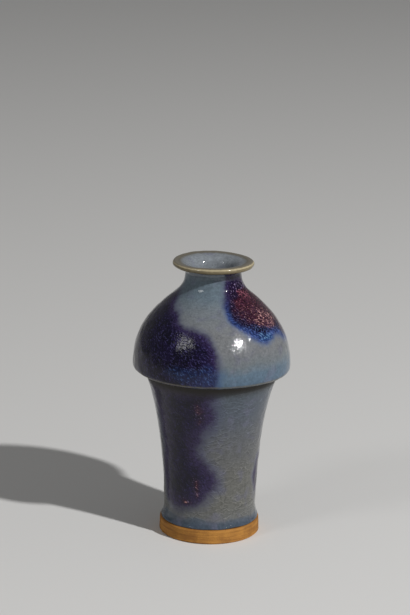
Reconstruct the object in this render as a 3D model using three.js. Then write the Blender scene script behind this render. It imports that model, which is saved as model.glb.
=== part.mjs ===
// Bottle vase in glazed stoneware: a waisted trunk under a mushroom-cap shoulder, a short neck and a rolled lip.
// The clay is thrown in sections, luted together with slip, and then coated with a thick glaze.
// Millimetres, +Z up. The origin is the centre of the face that the foot stands on.
import * as THREE from 'three';

// Fineness of the turned surfaces: steps round the axis, then steps along each stretch of the outline
const TURN_STEPS = 36;
const TRUNK_BASE_STEPS = 2;
const TRUNK_STEPS = 7;
const EDGE_STEPS = 4;
const DOME_STEPS = 8;
const FILLET_STEPS = 3;
const NECK_STEPS = 4;
const MOUTH_STEPS = 4;
const LIP_STEPS = 6;

// How far a smooth run keeps the direction of its ends, as a share of its length
const CURVE_EASE = 0.4;

// Joints: the bed of slip between two sections, and the gap that pieces in contact keep
const SLIP_BED = 0.8;
const CONTACT_GAP = 0.1;

// Foot ring, left bare of glaze
const FOOT_RECESS = 4.4;
const FOOT_STEP = 2.8;
const FOOT_FLARE = 0.3;
const FOOT_RING_WIDTH = 7.5;
const FOOT_CHAMFER = 0.8;
const FLOOR_LEDGE_WIDTH = 2.6;

// Floor disc, let into the top of the foot ring
const FLOOR_THICKNESS = 5.1;

// Trunk: clay surface, from the slip on the foot to the slip under the cap
const TRUNK_HEIGHT = 110.3;
const TRUNK_WAIST_RADIUS = 32.1;
const TRUNK_WAIST_HEIGHT = 16.1;
const TRUNK_WAIST_EASE = 0.41;
const TRUNK_BASE_FLARE = 0.8;
const TRUNK_BASE_ANGLE = 104;
const TRUNK_TOP_ANGLE = 64;
const TRUNK_TOP_EASE = 0.18;
const TRUNK_WALL = 4.6;

// Shoulder cap: clay surface, from the slip on the trunk to the slip under the neck
const CAP_RADIUS = 54.9;
const CAP_HEIGHT = 52.8;
const CAP_OVERHANG = 7.1;
const CAP_EDGE_RADIUS = 2.2;
const CAP_RIM_ANGLE = 140;
const CAP_WALL = 5;
const CAP_SHELF = 5;
const CAP_FILLET = 6;

// Neck and mouth: clay surface, from the slip on the cap to the top of the lip
const NECK_HEIGHT = 15.7;
const NECK_RADIUS = 19.3;
const NECK_ROOT_SPREAD = 7.9;
const NECK_WALL = 4;
const MOUTH_HEIGHT = 8;
const MOUTH_UNDERSIDE_ANGLE = 8;
const LIP_OVERHANG = 9.2;
const LIP_THICKNESS = 3;

// Glaze, with a thicker welt where it stops above the foot
const TRUNK_GLAZE = 1.1;
const SHOULDER_GLAZE = 1.2;
const RIM_GLAZE = 0.5;
const LINING = 0.8;
const WELT = 1.8;
const WELT_HEIGHT = 7;
const BARE_STRIP = 0.3;

// Radii where the sections meet
const TRUNK_BASE_RADIUS = TRUNK_WAIST_RADIUS + TRUNK_BASE_FLARE;
const TRUNK_TOP_RADIUS = CAP_RADIUS - CAP_OVERHANG;
const CAP_RIM_RADIUS = NECK_RADIUS + NECK_ROOT_SPREAD;
const LIP_RADIUS = NECK_RADIUS + LIP_OVERHANG;

// Heights of the seats, each worked out from the section below it
const FLOOR_SEAT = FOOT_RECESS + SLIP_BED;
const FOOT_HEIGHT = FLOOR_SEAT + FLOOR_THICKNESS;
const TRUNK_SEAT = FOOT_HEIGHT + SLIP_BED;
const TRUNK_TOP = TRUNK_SEAT + TRUNK_HEIGHT;
const CAP_SEAT = TRUNK_TOP + SLIP_BED;
const CAP_RIM = CAP_SEAT + CAP_HEIGHT;
const NECK_SEAT = CAP_RIM + SLIP_BED;
const THROAT = NECK_SEAT + NECK_HEIGHT;
const LIP_TOP = THROAT + MOUTH_HEIGHT;

// Directions of the outline, in degrees from straight outwards
const OUTWARDS = 0;
const UP = 90;
const INWARDS = 180;
const DOWN = 270;

const at = (radius, height) => new THREE.Vector2(radius, height);

/** The unit vector at an angle of the outline. */
function heading(angle) {
  const turn = THREE.MathUtils.degToRad(angle);
  return at(Math.cos(turn), Math.sin(turn));
}

/** A smooth run of points that leaves one point and arrives at another at the given angles. */
function sweep(from, leaving, to, arriving, steps, leavingEase = CURVE_EASE, arrivingEase = CURVE_EASE) {
  const reach = from.distanceTo(to);
  const first = from.clone().addScaledVector(heading(leaving), leavingEase * reach);
  const second = to.clone().addScaledVector(heading(arriving), -arrivingEase * reach);
  return new THREE.CubicBezierCurve(from, first, second, to).getPoints(steps);
}

/** A run of points round part of a circle. */
function arc(centre, radius, start, end, steps) {
  const angles = Array.from({ length: steps + 1 }, (_, step) => start + ((end - start) * step) / steps);
  return angles.map((angle) => centre.clone().addScaledVector(heading(angle), radius));
}

/** Runs joined end to end, without the points that they share. */
function join(...runs) {
  return runs.flatMap((run, place) => (place === 0 ? run : run.slice(1)));
}

/** The unit vector that points out of the wall beside one point of a run. */
function wallNormal(run, index) {
  const before = run[Math.max(index - 1, 0)];
  const after = run[Math.min(index + 1, run.length - 1)];
  const along = after.clone().sub(before).normalize();
  return at(along.y, -along.x);
}

/** A run moved out of the wall by a distance, or by one that depends on the height. */
function offset(run, distance) {
  return run.map((point, index) => {
    const depth = typeof distance === 'function' ? distance(point.y) : distance;
    return point.clone().addScaledVector(wallNormal(run, index), depth);
  });
}

/** A run moved out of the wall whose two ends stay at their own heights. */
function offsetLevel(run, distance) {
  const moved = offset(run, distance);
  for (const index of [0, run.length - 1]) {
    const depth = typeof distance === 'function' ? distance(run[index].y) : distance;
    moved[index] = at(run[index].x + depth / wallNormal(run, index).x, run[index].y);
  }
  return moved;
}

/** The stretch of a rising run that lies between two heights. */
function between(run, low, high) {
  const cut = (height) => {
    const above = Math.max(run.findIndex((point) => point.y >= height), 1);
    const [lower, upper] = [run[above - 1], run[above]];
    return lower.clone().lerp(upper, (height - lower.y) / (upper.y - lower.y));
  };
  return [cut(low), ...run.filter((point) => point.y > low && point.y < high), cut(high)];
}

/** The closed outline between a rising outer run and a rising inner run. */
function wall(outer, inner) {
  return [...outer, ...inner.toReversed(), outer[0]];
}

/** The closed outline of a flat ring between two radii. */
function flatRing(innerRadius, outerRadius, bottom, top) {
  return wall([at(outerRadius, bottom), at(outerRadius, top)], [at(innerRadius, bottom), at(innerRadius, top)]);
}

const stoneware = { color: 0xaa7b3e, roughness: 0.85, metalness: 0 };
const slip = { color: 0xb48a55, roughness: 0.9, metalness: 0 };
const glaze = { color: 0x8d949b, roughness: 0.2, metalness: 0 };
const thinGlaze = { color: 0x9a8d74, roughness: 0.25, metalness: 0 };

/** A named solid of revolution about the Z axis. */
function turned(name, outline, finish) {
  const geometry = new THREE.LatheGeometry(outline, TURN_STEPS);
  geometry.rotateX(Math.PI / 2);
  const mesh = new THREE.Mesh(geometry, new THREE.MeshStandardMaterial(finish));
  mesh.name = name;
  return mesh;
}

// Trunk outline: in to the waist just above the foot, then out to the underside of the cap
const trunkBase = at(TRUNK_BASE_RADIUS, TRUNK_SEAT);
const trunkWaist = at(TRUNK_WAIST_RADIUS, TRUNK_SEAT + TRUNK_WAIST_HEIGHT);
const trunkRim = at(TRUNK_TOP_RADIUS, TRUNK_TOP);
const trunkOuter = join(
  sweep(trunkBase, TRUNK_BASE_ANGLE, trunkWaist, UP, TRUNK_BASE_STEPS),
  sweep(trunkWaist, UP, trunkRim, TRUNK_TOP_ANGLE, TRUNK_STEPS, TRUNK_WAIST_EASE, TRUNK_TOP_EASE),
);
const trunkInner = offsetLevel(trunkOuter, -TRUNK_WALL);
const trunkBaseBore = trunkInner[0].x;
const trunkTopBore = trunkInner.at(-1).x;

// Cap outline: flat underside, rounded edge and dome outside, and a shelf that fillets into the dome inside
const capEdge = at(CAP_RADIUS - CAP_EDGE_RADIUS, CAP_SEAT + CAP_EDGE_RADIUS);
const capSpring = at(CAP_RADIUS, capEdge.y);
const capRim = at(CAP_RIM_RADIUS, CAP_RIM);
const capDome = sweep(capSpring, UP, capRim, CAP_RIM_ANGLE, DOME_STEPS);
const capSide = join(arc(capEdge, CAP_EDGE_RADIUS, -UP, OUTWARDS, EDGE_STEPS), capDome);
const rimSeatWidth = CAP_WALL / Math.sin(THREE.MathUtils.degToRad(CAP_RIM_ANGLE));
const capBore = at(CAP_RIM_RADIUS - rimSeatWidth, CAP_RIM);
const capInnerSpring = at(CAP_RADIUS - CAP_WALL, CAP_SEAT + CAP_SHELF + CAP_FILLET);
const capInner = join(
  sweep(at(trunkTopBore, CAP_SEAT + CAP_SHELF), OUTWARDS, capInnerSpring, UP, FILLET_STEPS),
  sweep(capInnerSpring, UP, capBore, CAP_RIM_ANGLE, DOME_STEPS),
);

// Neck outline: on from the dome's slope to the throat, out under the mouth, round the lip and back down inside
const rimSlope = heading(CAP_RIM_ANGLE);
const neckShift = (SLIP_BED * rimSlope.x) / rimSlope.y;
const neckRoot = at(CAP_RIM_RADIUS + neckShift, NECK_SEAT);
const neckBore = at(capBore.x + neckShift, NECK_SEAT);
const lipRound = LIP_THICKNESS / 2;
const lipCentre = at(LIP_RADIUS - lipRound, LIP_TOP - lipRound);
const lip = arc(lipCentre, lipRound, -UP, UP, LIP_STEPS);
const throatOuter = at(NECK_RADIUS, THROAT);
const throatInner = at(NECK_RADIUS - NECK_WALL, THROAT);
const neckOuter = join(
  sweep(neckRoot, CAP_RIM_ANGLE, throatOuter, UP, NECK_STEPS),
  sweep(throatOuter, UP, lip[0], MOUTH_UNDERSIDE_ANGLE, MOUTH_STEPS),
);
const neckInside = join(
  sweep(lip.at(-1), INWARDS, throatInner, DOWN, MOUTH_STEPS),
  sweep(throatInner, DOWN, neckBore, CAP_RIM_ANGLE + INWARDS, NECK_STEPS),
);

/** The base: the foot ring, the floor disc let into it and the slip between them. */
function base() {
  const topRadius = TRUNK_BASE_RADIUS + FOOT_STEP;
  const bottomRadius = topRadius + FOOT_FLARE;
  const recessRadius = bottomRadius - FOOT_RING_WIDTH;
  const floorRadius = recessRadius + FLOOR_LEDGE_WIDTH;
  const footOutline = [
    at(recessRadius + FOOT_CHAMFER, 0),
    at(bottomRadius - FOOT_CHAMFER, 0),
    at(bottomRadius, FOOT_CHAMFER),
    at(topRadius, FOOT_HEIGHT - FOOT_CHAMFER),
    at(topRadius - FOOT_CHAMFER, FOOT_HEIGHT),
    at(floorRadius, FOOT_HEIGHT),
    at(floorRadius, FOOT_RECESS),
    at(recessRadius, FOOT_RECESS),
    at(recessRadius, FOOT_CHAMFER),
    at(recessRadius + FOOT_CHAMFER, 0),
  ];
  const floorOutline = [
    at(0, FLOOR_SEAT),
    at(floorRadius - CONTACT_GAP, FLOOR_SEAT),
    at(floorRadius - CONTACT_GAP, FOOT_HEIGHT),
    at(0, FOOT_HEIGHT),
  ];
  const bedOutline = flatRing(
    recessRadius,
    floorRadius - CONTACT_GAP,
    FOOT_RECESS + CONTACT_GAP,
    FLOOR_SEAT - CONTACT_GAP,
  );
  return new THREE.Group().add(
    turned('foot_ring', footOutline, stoneware),
    turned('floor_disc', floorOutline, stoneware),
    turned('floor_slip', bedOutline, slip),
  );
}

/** The trunk: its wall, the slip that lutes it to the base, its glaze and its lining. */
function trunk() {
  const slipOutline = flatRing(
    trunkBaseBore,
    TRUNK_BASE_RADIUS,
    FOOT_HEIGHT + CONTACT_GAP,
    TRUNK_SEAT - CONTACT_GAP,
  );
  const glazeFoot = TRUNK_SEAT + BARE_STRIP;
  const glazeTop = CAP_SEAT - SHOULDER_GLAZE - CONTACT_GAP;
  const glazed = between([...trunkOuter, at(TRUNK_TOP_RADIUS, CAP_SEAT)], glazeFoot, glazeTop);
  const thickness = (height) => {
    const thinned = THREE.MathUtils.smoothstep(height, glazeFoot, glazeFoot + WELT_HEIGHT);
    return THREE.MathUtils.lerp(WELT, TRUNK_GLAZE, thinned);
  };
  const lined = offset(trunkInner, -CONTACT_GAP);
  const floorLevel = FOOT_HEIGHT + CONTACT_GAP;
  const liningSkin = [
    at(lined[0].x, floorLevel),
    ...lined.slice(1, -1),
    at(trunkTopBore - CONTACT_GAP, CAP_SEAT),
    at(trunkTopBore - CONTACT_GAP, CAP_SEAT + CAP_SHELF),
  ];
  const liningFace = offsetLevel(liningSkin, -LINING);
  const liningOutline = [
    at(0, floorLevel),
    ...liningSkin,
    ...liningFace.slice(1).toReversed(),
    at(liningFace[0].x, floorLevel + LINING),
    at(0, floorLevel + LINING),
  ];
  return new THREE.Group().add(
    turned('foot_slip', slipOutline, slip),
    turned('trunk_wall', wall(trunkOuter, trunkInner), stoneware),
    turned('trunk_glaze', wall(offsetLevel(glazed, thickness), offsetLevel(glazed, CONTACT_GAP)), glaze),
    turned('trunk_lining', liningOutline, glaze),
  );
}

/** The shoulder: the cap, the slip that lutes it to the trunk, and its lining. */
function shoulder() {
  const slipOutline = flatRing(
    trunkTopBore,
    TRUNK_TOP_RADIUS,
    TRUNK_TOP + CONTACT_GAP,
    CAP_SEAT - CONTACT_GAP,
  );
  const capOutline = [at(trunkTopBore, CAP_SEAT), ...capSide, ...capInner.toReversed(), at(trunkTopBore, CAP_SEAT)];
  const liningSkin = offset(capInner, -CONTACT_GAP);
  const liningFace = offset(capInner, -CONTACT_GAP - LINING);
  return new THREE.Group().add(
    turned('cap_slip', slipOutline, slip),
    turned('shoulder_cap', capOutline, stoneware),
    turned('cap_lining', wall(liningSkin, liningFace), glaze),
  );
}

/** The neck and mouth, the slip that lutes them to the cap, and their lining. */
function mouth() {
  const low = CONTACT_GAP / SLIP_BED;
  const high = 1 - low;
  const slipOutline = wall(
    [capRim.clone().lerp(neckRoot, low), capRim.clone().lerp(neckRoot, high)],
    [capBore.clone().lerp(neckBore, low), capBore.clone().lerp(neckBore, high)],
  );
  const neckOutline = [...join(neckOuter, lip), ...neckInside.slice(1), neckRoot];
  const lined = neckInside.toReversed();
  const liningSkin = offset(lined, -CONTACT_GAP);
  const thickness = (height) => {
    const thinned = THREE.MathUtils.smoothstep(height, THROAT, LIP_TOP);
    return THREE.MathUtils.lerp(CONTACT_GAP + LINING, RIM_GLAZE, thinned);
  };
  const liningFace = offset(lined, (height) => -thickness(height));
  return new THREE.Group().add(
    turned('neck_slip', slipOutline, slip),
    turned('neck_and_mouth', neckOutline, stoneware),
    turned('mouth_lining', wall(liningSkin, liningFace), glaze),
  );
}

/** The glaze over the cap and the neck, and the thin glaze over the lip. */
function outerGlaze() {
  const underside = at(TRUNK_TOP_RADIUS + CONTACT_GAP, CAP_SEAT);
  const coated = [underside, ...capSide, ...neckOuter];
  const thickness = (height) => {
    const thinned = THREE.MathUtils.smoothstep(height, NECK_SEAT, lip[0].y);
    return THREE.MathUtils.lerp(SHOULDER_GLAZE, RIM_GLAZE, thinned);
  };
  const shoulderOutline = wall(offset(coated, thickness), offset(coated, CONTACT_GAP));
  const rimOutline = wall(offset(lip, RIM_GLAZE), offset(lip, CONTACT_GAP));
  return new THREE.Group().add(
    turned('shoulder_glaze', shoulderOutline, glaze),
    turned('rim_glaze', rimOutline, thinGlaze),
  );
}

const vase = new THREE.Group();
vase.name = 'bottle_vase';
vase.add(base(), trunk(), shoulder(), mouth(), outerGlaze());

export default vase;
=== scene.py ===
"""Looks of the bottle vase: splashed glaze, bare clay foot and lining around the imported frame.

Sizes are in millimetres, and azimuths in degrees round from the front (-Y) towards +X. Meshes are
written in metres, in the frame's own axes.
"""

import logging
import math
from collections.abc import Sequence
from dataclasses import dataclass, field
from enum import Enum
from typing import Any, Optional, Union

import bpy
import numpy as np
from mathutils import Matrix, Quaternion, Vector


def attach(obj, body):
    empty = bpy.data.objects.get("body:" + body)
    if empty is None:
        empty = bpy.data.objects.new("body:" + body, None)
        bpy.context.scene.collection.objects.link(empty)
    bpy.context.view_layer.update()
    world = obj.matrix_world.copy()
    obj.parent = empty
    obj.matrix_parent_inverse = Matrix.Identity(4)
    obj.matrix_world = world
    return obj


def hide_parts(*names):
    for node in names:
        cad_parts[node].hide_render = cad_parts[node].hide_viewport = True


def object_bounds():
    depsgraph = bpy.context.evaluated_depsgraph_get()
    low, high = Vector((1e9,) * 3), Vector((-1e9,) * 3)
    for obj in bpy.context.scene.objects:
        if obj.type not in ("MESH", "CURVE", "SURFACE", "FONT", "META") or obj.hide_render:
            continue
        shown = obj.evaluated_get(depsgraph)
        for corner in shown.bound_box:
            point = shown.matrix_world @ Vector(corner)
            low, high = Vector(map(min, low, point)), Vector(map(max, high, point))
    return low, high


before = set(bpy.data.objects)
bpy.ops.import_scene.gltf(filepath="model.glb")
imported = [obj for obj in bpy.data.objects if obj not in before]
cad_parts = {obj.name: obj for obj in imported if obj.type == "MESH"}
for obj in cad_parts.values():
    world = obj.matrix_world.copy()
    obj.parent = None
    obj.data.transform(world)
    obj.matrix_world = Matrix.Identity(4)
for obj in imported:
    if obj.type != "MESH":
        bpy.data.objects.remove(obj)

LOG = logging.getLogger("bottle_vase")
CAD_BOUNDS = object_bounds()

MM = 0.001
TINY = 1e-9
BODY = "root"

# A vertex this near to the front half-plane, in metres, lies in it. Its place is rounded to these digits.
FRONT_TOLERANCE = 1e-6
JOIN_DIGITS = 3
# A coat's point this near to the clay lies on its back, where rows are this far apart.
CONTACT_LIMIT = 0.25
BACK_STEP = 4.0
# A path that turns by more keeps its corner. Each of its curves is first worked out at so many places.
CORNER_TURN = math.radians(40)
CURVE_SAMPLES = 48
# Rows nearer to the axis than this share of a step are left out, because a tip closes the skin there.
AXIS_SHARE = 0.25
# How much of each side is cut away at the corners of a pool's outline.
CORNER_CUT = 0.25
# How far outside a pool its depth is worked out, and the depth beyond that.
REACH = 16.0
FAR_OUTSIDE = -99.0
# The map's name, how much smaller a coat's back lies on it, and its margin at the top and the bottom.
MAP_NAME = "OFBake"
MAP_BACK_SHARE = 0.15
MAP_MARGIN = 0.005

# A pair is two colours that are mixed, and a band the two ends between which something eases in or out.
Colour = tuple[float, float, float, float]
Pair = tuple[Colour, Colour]
Band = tuple[float, float]
Feed = Union["Wire", float, Sequence[float]]


def paint(red: int, green: int, blue: int) -> Colour:
    """Turns an 8-bit display colour into the linear colour that a shader takes.

    Args:
        red: Red from 0 to 255.
        green: Green from 0 to 255.
        blue: Blue from 0 to 255.

    Returns:
        Linear red, green and blue with full alpha.
    """

    def linear(level: int) -> float:
        """Undoes the display curve of one channel."""
        share = level / 255
        return share / 12.92 if share <= 0.04045 else ((share + 0.055) / 1.055) ** 2.4

    return (linear(red), linear(green), linear(blue), 1.0)


def smoothstep(low: float, high: float, values: np.ndarray) -> np.ndarray:
    """Eases values from 0 at low to 1 at high.

    Args:
        low: Where the result is 0.
        high: Where the result is 1, on either side of low.
        values: The numbers to ease.

    Returns:
        An array of the same shape.
    """
    share = np.clip((values - low) / (high - low), 0, 1)
    return share * share * (3 - 2 * share)


def bell(middle: float, width: float, values: np.ndarray) -> np.ndarray:
    """Eases values up to 1 at middle and down again.

    Args:
        middle: Where the result is 1.
        width: How far from there it has fallen to about a third.
        values: The numbers to ease.

    Returns:
        An array of the same shape.
    """
    return np.exp(-(((values - middle) / width) ** 2))


class Wire:
    """A shader socket that takes part in Python arithmetic, one node for each step."""

    def __init__(self, graph: "Graph", socket: bpy.types.NodeSocket) -> None:
        """Keeps the socket and the graph that it belongs to."""
        self.graph = graph
        self.socket = socket

    def _step(self, operation: str, *operands: Feed) -> "Wire":
        """Adds the node for one step of arithmetic.

        Args:
            operation: The step's name in Blender.
            operands: Wires or numbers, in order.

        Returns:
            The step's result.
        """
        kinds = {operand.socket.type for operand in operands if isinstance(operand, Wire)}
        if kinds == {"VALUE"}:
            return self.graph.node("ShaderNodeMath", {"operation": operation}, dict(enumerate(operands)))
        spread = [(o,) * 3 if isinstance(o, (int, float)) else o for o in operands]
        return self.graph.node("ShaderNodeVectorMath", {"operation": operation}, dict(enumerate(spread)))

    def __add__(self, other: Feed) -> "Wire":
        """This plus other."""
        return self._step("ADD", self, other)

    def __radd__(self, other: Feed) -> "Wire":
        """Other plus this."""
        return self._step("ADD", other, self)

    def __sub__(self, other: Feed) -> "Wire":
        """This less other."""
        return self._step("SUBTRACT", self, other)

    def __rsub__(self, other: Feed) -> "Wire":
        """Other less this."""
        return self._step("SUBTRACT", other, self)

    def __mul__(self, other: Feed) -> "Wire":
        """This times other."""
        return self._step("MULTIPLY", self, other)

    def __rmul__(self, other: Feed) -> "Wire":
        """Other times this."""
        return self._step("MULTIPLY", other, self)

    def sway(self, reach: float) -> "Wire":
        """This, which runs from 0 to 1, moved and stretched to run reach wide about 0."""
        return (self - 0.5) * reach


@dataclass(frozen=True)
class Cloud:
    """Cloudy noise.

    Attributes:
        size: About how wide its spots are, in millimetres.
        detail: How many finer layers it has.
        rough: How strong the finer layers are.
    """

    size: float
    detail: float = 2.0
    rough: float = 0.5


class Distance(Enum):
    """The distance that is read from a cell pattern, by Blender's names."""

    TO_MIDDLE = "F1"
    TO_EDGE = "DISTANCE_TO_EDGE"


class Graph:
    """The node tree of one material."""

    # The numbers of the mix node's colour sockets, whose names are also those of other sockets.
    MIX_FIRST = 6
    MIX_SECOND = 7
    MIX_RESULT = 2

    def __init__(self, name: str) -> None:
        """Starts a material with an empty node tree."""
        self.material = bpy.data.materials.new(name)
        self.material.use_nodes = True
        self.tree = self.material.node_tree
        self.tree.nodes.clear()

    def node(
        self,
        kind: str,
        settings: Optional[dict[str, Any]] = None,
        sockets: Optional[dict[Union[str, int], Feed]] = None,
        out: Union[str, int] = 0,
    ) -> Wire:
        """Adds a node, sets it up and wires it.

        Args:
            kind: The node's type.
            settings: Its settings by name; "stops" holds a ramp's places and colours.
            sockets: Values or wires for its sockets, by name or number.
            out: The output that is wanted.

        Returns:
            The wanted output.
        """
        made = self.tree.nodes.new(kind)
        for name, value in (settings or {}).items():
            if name == "stops":
                self._set_stops(made.color_ramp, value)
            else:
                setattr(made, name, value)
        for key, value in (sockets or {}).items():
            if isinstance(value, Wire):
                self.tree.links.new(value.socket, made.inputs[key])
            else:
                made.inputs[key].default_value = value
        return Wire(self, made.outputs[out])

    @staticmethod
    def _set_stops(ramp: bpy.types.ColorRamp, stops: Sequence[tuple[float, Colour]]) -> None:
        """Gives a ramp its stops, in order of place.

        Args:
            ramp: The ramp, as new.
            stops: Pairs of place and colour.
        """
        while len(ramp.elements) < len(stops):
            ramp.elements.new(1.0)
        for element, (place, colour) in zip(ramp.elements, stops):
            element.position = place
            element.color = colour

    def value(self, name: str) -> Wire:
        """A number that the mesh holds under this name."""
        return self.node("ShaderNodeAttribute", {"attribute_name": name}, out="Fac")

    def vector(self, name: str) -> Wire:
        """A vector that the mesh holds under this name."""
        return self.node("ShaderNodeAttribute", {"attribute_name": name}, out="Vector")

    def place(self) -> Wire:
        """The place on the object, in millimetres."""
        return self.node("ShaderNodeTexCoord", out="Object") * (1 / MM)

    def axis(self, vector: Wire, name: str) -> Wire:
        """One part of a vector, named X, Y or Z."""
        return self.node("ShaderNodeSeparateXYZ", sockets={0: vector}, out=name)

    def noise(self, at: Wire, cloud: Cloud, out: str = "Fac") -> Wire:
        """Adds cloudy noise.

        Args:
            at: Where it is read, in millimetres.
            cloud: Its clouds.
            out: "Fac" for a number, "Color" for three.

        Returns:
            Noise from 0 to 1.
        """
        sockets = {"Vector": at, "Scale": 1 / cloud.size, "Detail": cloud.detail, "Roughness": cloud.rough}
        return self.node("ShaderNodeTexNoise", sockets=sockets, out=out)

    def cells(self, at: Wire, size: float, distance: Distance) -> Wire:
        """Adds a cell pattern and gives a distance in it.

        Args:
            at: Where it is read, in millimetres.
            size: About how wide its cells are.
            distance: Which distance is read.

        Returns:
            The distance, in cells.
        """
        sockets = {"Vector": at, "Scale": 1 / size}
        return self.node("ShaderNodeTexVoronoi", {"feature": distance.value}, sockets, "Distance")

    def smooth(self, value: Wire, low: float, high: float) -> Wire:
        """Eases a value from 0 at low to 1 at high, on either side of low."""
        sockets = {"Value": value, "From Min": low, "From Max": high}
        return self.node("ShaderNodeMapRange", {"interpolation_type": "SMOOTHSTEP"}, sockets)

    def ramp(self, value: Wire, stops: Sequence[tuple[float, Colour]]) -> Wire:
        """A colour read from a ramp of stops, for a value from 0 to 1."""
        return self.node("ShaderNodeValToRGB", {"stops": stops}, {0: value}, "Color")

    def mix(self, first: Feed, second: Feed, share: Feed) -> Wire:
        """Mixes two colours.

        Args:
            first: The colour where share is 0.
            second: The colour where share is 1.
            share: How much of the second there is.

        Returns:
            The mixed colour.
        """
        sockets = {"Factor": share, self.MIX_FIRST: first, self.MIX_SECOND: second}
        return self.node("ShaderNodeMix", {"data_type": "RGBA"}, sockets, self.MIX_RESULT)

    def bump(self, height: Wire, depth: float, under: Optional[Wire] = None) -> Wire:
        """Adds a fine relief.

        Args:
            height: The relief, from 0 to 1.
            depth: How deep it goes in millimetres.
            under: A coarser relief that it lies on.

        Returns:
            The bent normal.
        """
        sockets = {"Height": height, "Distance": depth * MM}
        if under is not None:
            sockets["Normal"] = under
        return self.node("ShaderNodeBump", sockets=sockets)

    def finish(self, **sockets: Feed) -> bpy.types.Material:
        """Ends the tree in one surface shader.

        Args:
            sockets: The shader's values, with _ for a blank in a socket's name.

        Returns:
            The material.
        """
        named = {name.replace("_", " "): value for name, value in sockets.items()}
        shader = self.node("ShaderNodeBsdfPrincipled", sockets=named)
        surface = self.tree.nodes.new("ShaderNodeOutputMaterial").inputs["Surface"]
        self.tree.links.new(shader.socket, surface)
        return self.material


@dataclass(frozen=True)
class Waves:
    """Smooth random relief: plane waves of about one length, the same in every run.

    Attributes:
        seed: Which waves are drawn.
        length: About how long they are, in millimetres.
        count: How many there are.
        spread: The least and the greatest rate of a wave, where 1 is a wave of that length.
    """

    seed: int
    length: float
    count: int = 28
    spread: tuple[float, float] = (0.6, 1.6)

    def at(self, points: np.ndarray) -> np.ndarray:
        """Reads the relief.

        Args:
            points: Places in millimetres, one to a row.

        Returns:
            Heights that stray about 1 from 0.
        """
        draw = np.random.default_rng(self.seed)
        ways = draw.normal(size=(self.count, points.shape[1]))
        ways /= np.linalg.norm(ways, axis=1, keepdims=True)
        rates = 2 * np.pi / self.length * draw.uniform(*self.spread, self.count)
        starts = draw.uniform(0, 2 * np.pi, self.count)
        return np.sin(points @ (ways * rates[:, None]).T + starts).sum(1) * math.sqrt(2 / self.count)


@dataclass(frozen=True)
class Section:
    """The half-section of a turned node.

    Attributes:
        points: Rows of radius and height, counter-clockwise.
        closed: Whether it is a loop off the axis, and doesn't start and end on it.
    """

    points: np.ndarray
    closed: bool

    @classmethod
    def of(cls, node: str) -> "Section":
        """Reads the half-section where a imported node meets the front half-plane.

        Args:
            node: The node's name.

        Returns:
            Its half-section.
        """
        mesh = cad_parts[node].data
        spots: dict[int, tuple[float, float]] = {}
        for vertex in mesh.vertices:
            across, back, up = vertex.co
            if abs(across) < FRONT_TOLERANCE and back < FRONT_TOLERANCE:
                spots[vertex.index] = (round(-back / MM, JOIN_DIGITS), round(up / MM, JOIN_DIGITS))
        beside: dict[tuple[float, float], set[tuple[float, float]]] = {}
        for polygon in mesh.polygons:
            corners = list(polygon.vertices)
            for one, other in zip(corners, corners[1:] + corners[:1]):
                if one in spots and other in spots and spots[one] != spots[other]:
                    beside.setdefault(spots[one], set()).add(spots[other])
                    beside.setdefault(spots[other], set()).add(spots[one])
        ends = sorted(spot for spot, near in beside.items() if len(near) == 1)
        chain = [ends[0] if ends else min(beside)]
        while True:
            onward = sorted(beside[chain[-1]] - set(chain))
            if not onward:
                break
            chain.append(onward[0])
        points = np.array(chain)
        if cls._area(points) < 0:
            points = points[::-1]
        return cls(points, not ends)

    @staticmethod
    def _area(points: np.ndarray) -> float:
        """The area inside the points, less than 0 if they run clockwise."""
        onward = np.roll(points, -1, axis=0)
        return float((points[:, 0] * onward[:, 1] - onward[:, 0] * points[:, 1]).sum() / 2)

    def gap_to(self, points: np.ndarray) -> np.ndarray:
        """How far points lie from this half-section's edge.

        Args:
            points: Rows of radius and height.

        Returns:
            One distance for each point.
        """
        starts = self.points
        spans = np.roll(starts, -1, axis=0) - starts
        apart = points[:, None] - starts[None]
        share = (apart * spans).sum(2) / np.maximum((spans * spans).sum(1), TINY)
        nearest = starts + np.clip(share, 0, 1)[..., None] * spans
        return np.linalg.norm(points[:, None] - nearest, axis=2).min(1)

    def split(self, clay: Sequence["Section"]) -> tuple[np.ndarray, np.ndarray]:
        """Parts a coat's half-section into its face to the air and its back to the clay.

        Args:
            clay: The half-sections of the clay under the coat.

        Returns:
            The face and the back, each in the order of the half-section.
        """
        gaps = np.min([section.gap_to(self.points) for section in clay], axis=0)
        open_air = gaps > CONTACT_LIMIT
        first = int(np.flatnonzero(open_air & ~np.roll(open_air, 1))[0])
        turned = np.roll(self.points, -first, axis=0)
        count = int(open_air.sum())
        return turned[:count], turned[count:]


def bends(points: np.ndarray) -> np.ndarray:
    """How sharply a path turns at each inner point, in radians.

    Args:
        points: The path.

    Returns:
        One angle for each point between the ends.
    """
    steps = np.diff(points, axis=0)
    headings = np.arctan2(steps[:, 1], steps[:, 0])
    turns = np.diff(headings)
    return np.abs((turns + np.pi) % (2 * np.pi) - np.pi)


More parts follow.
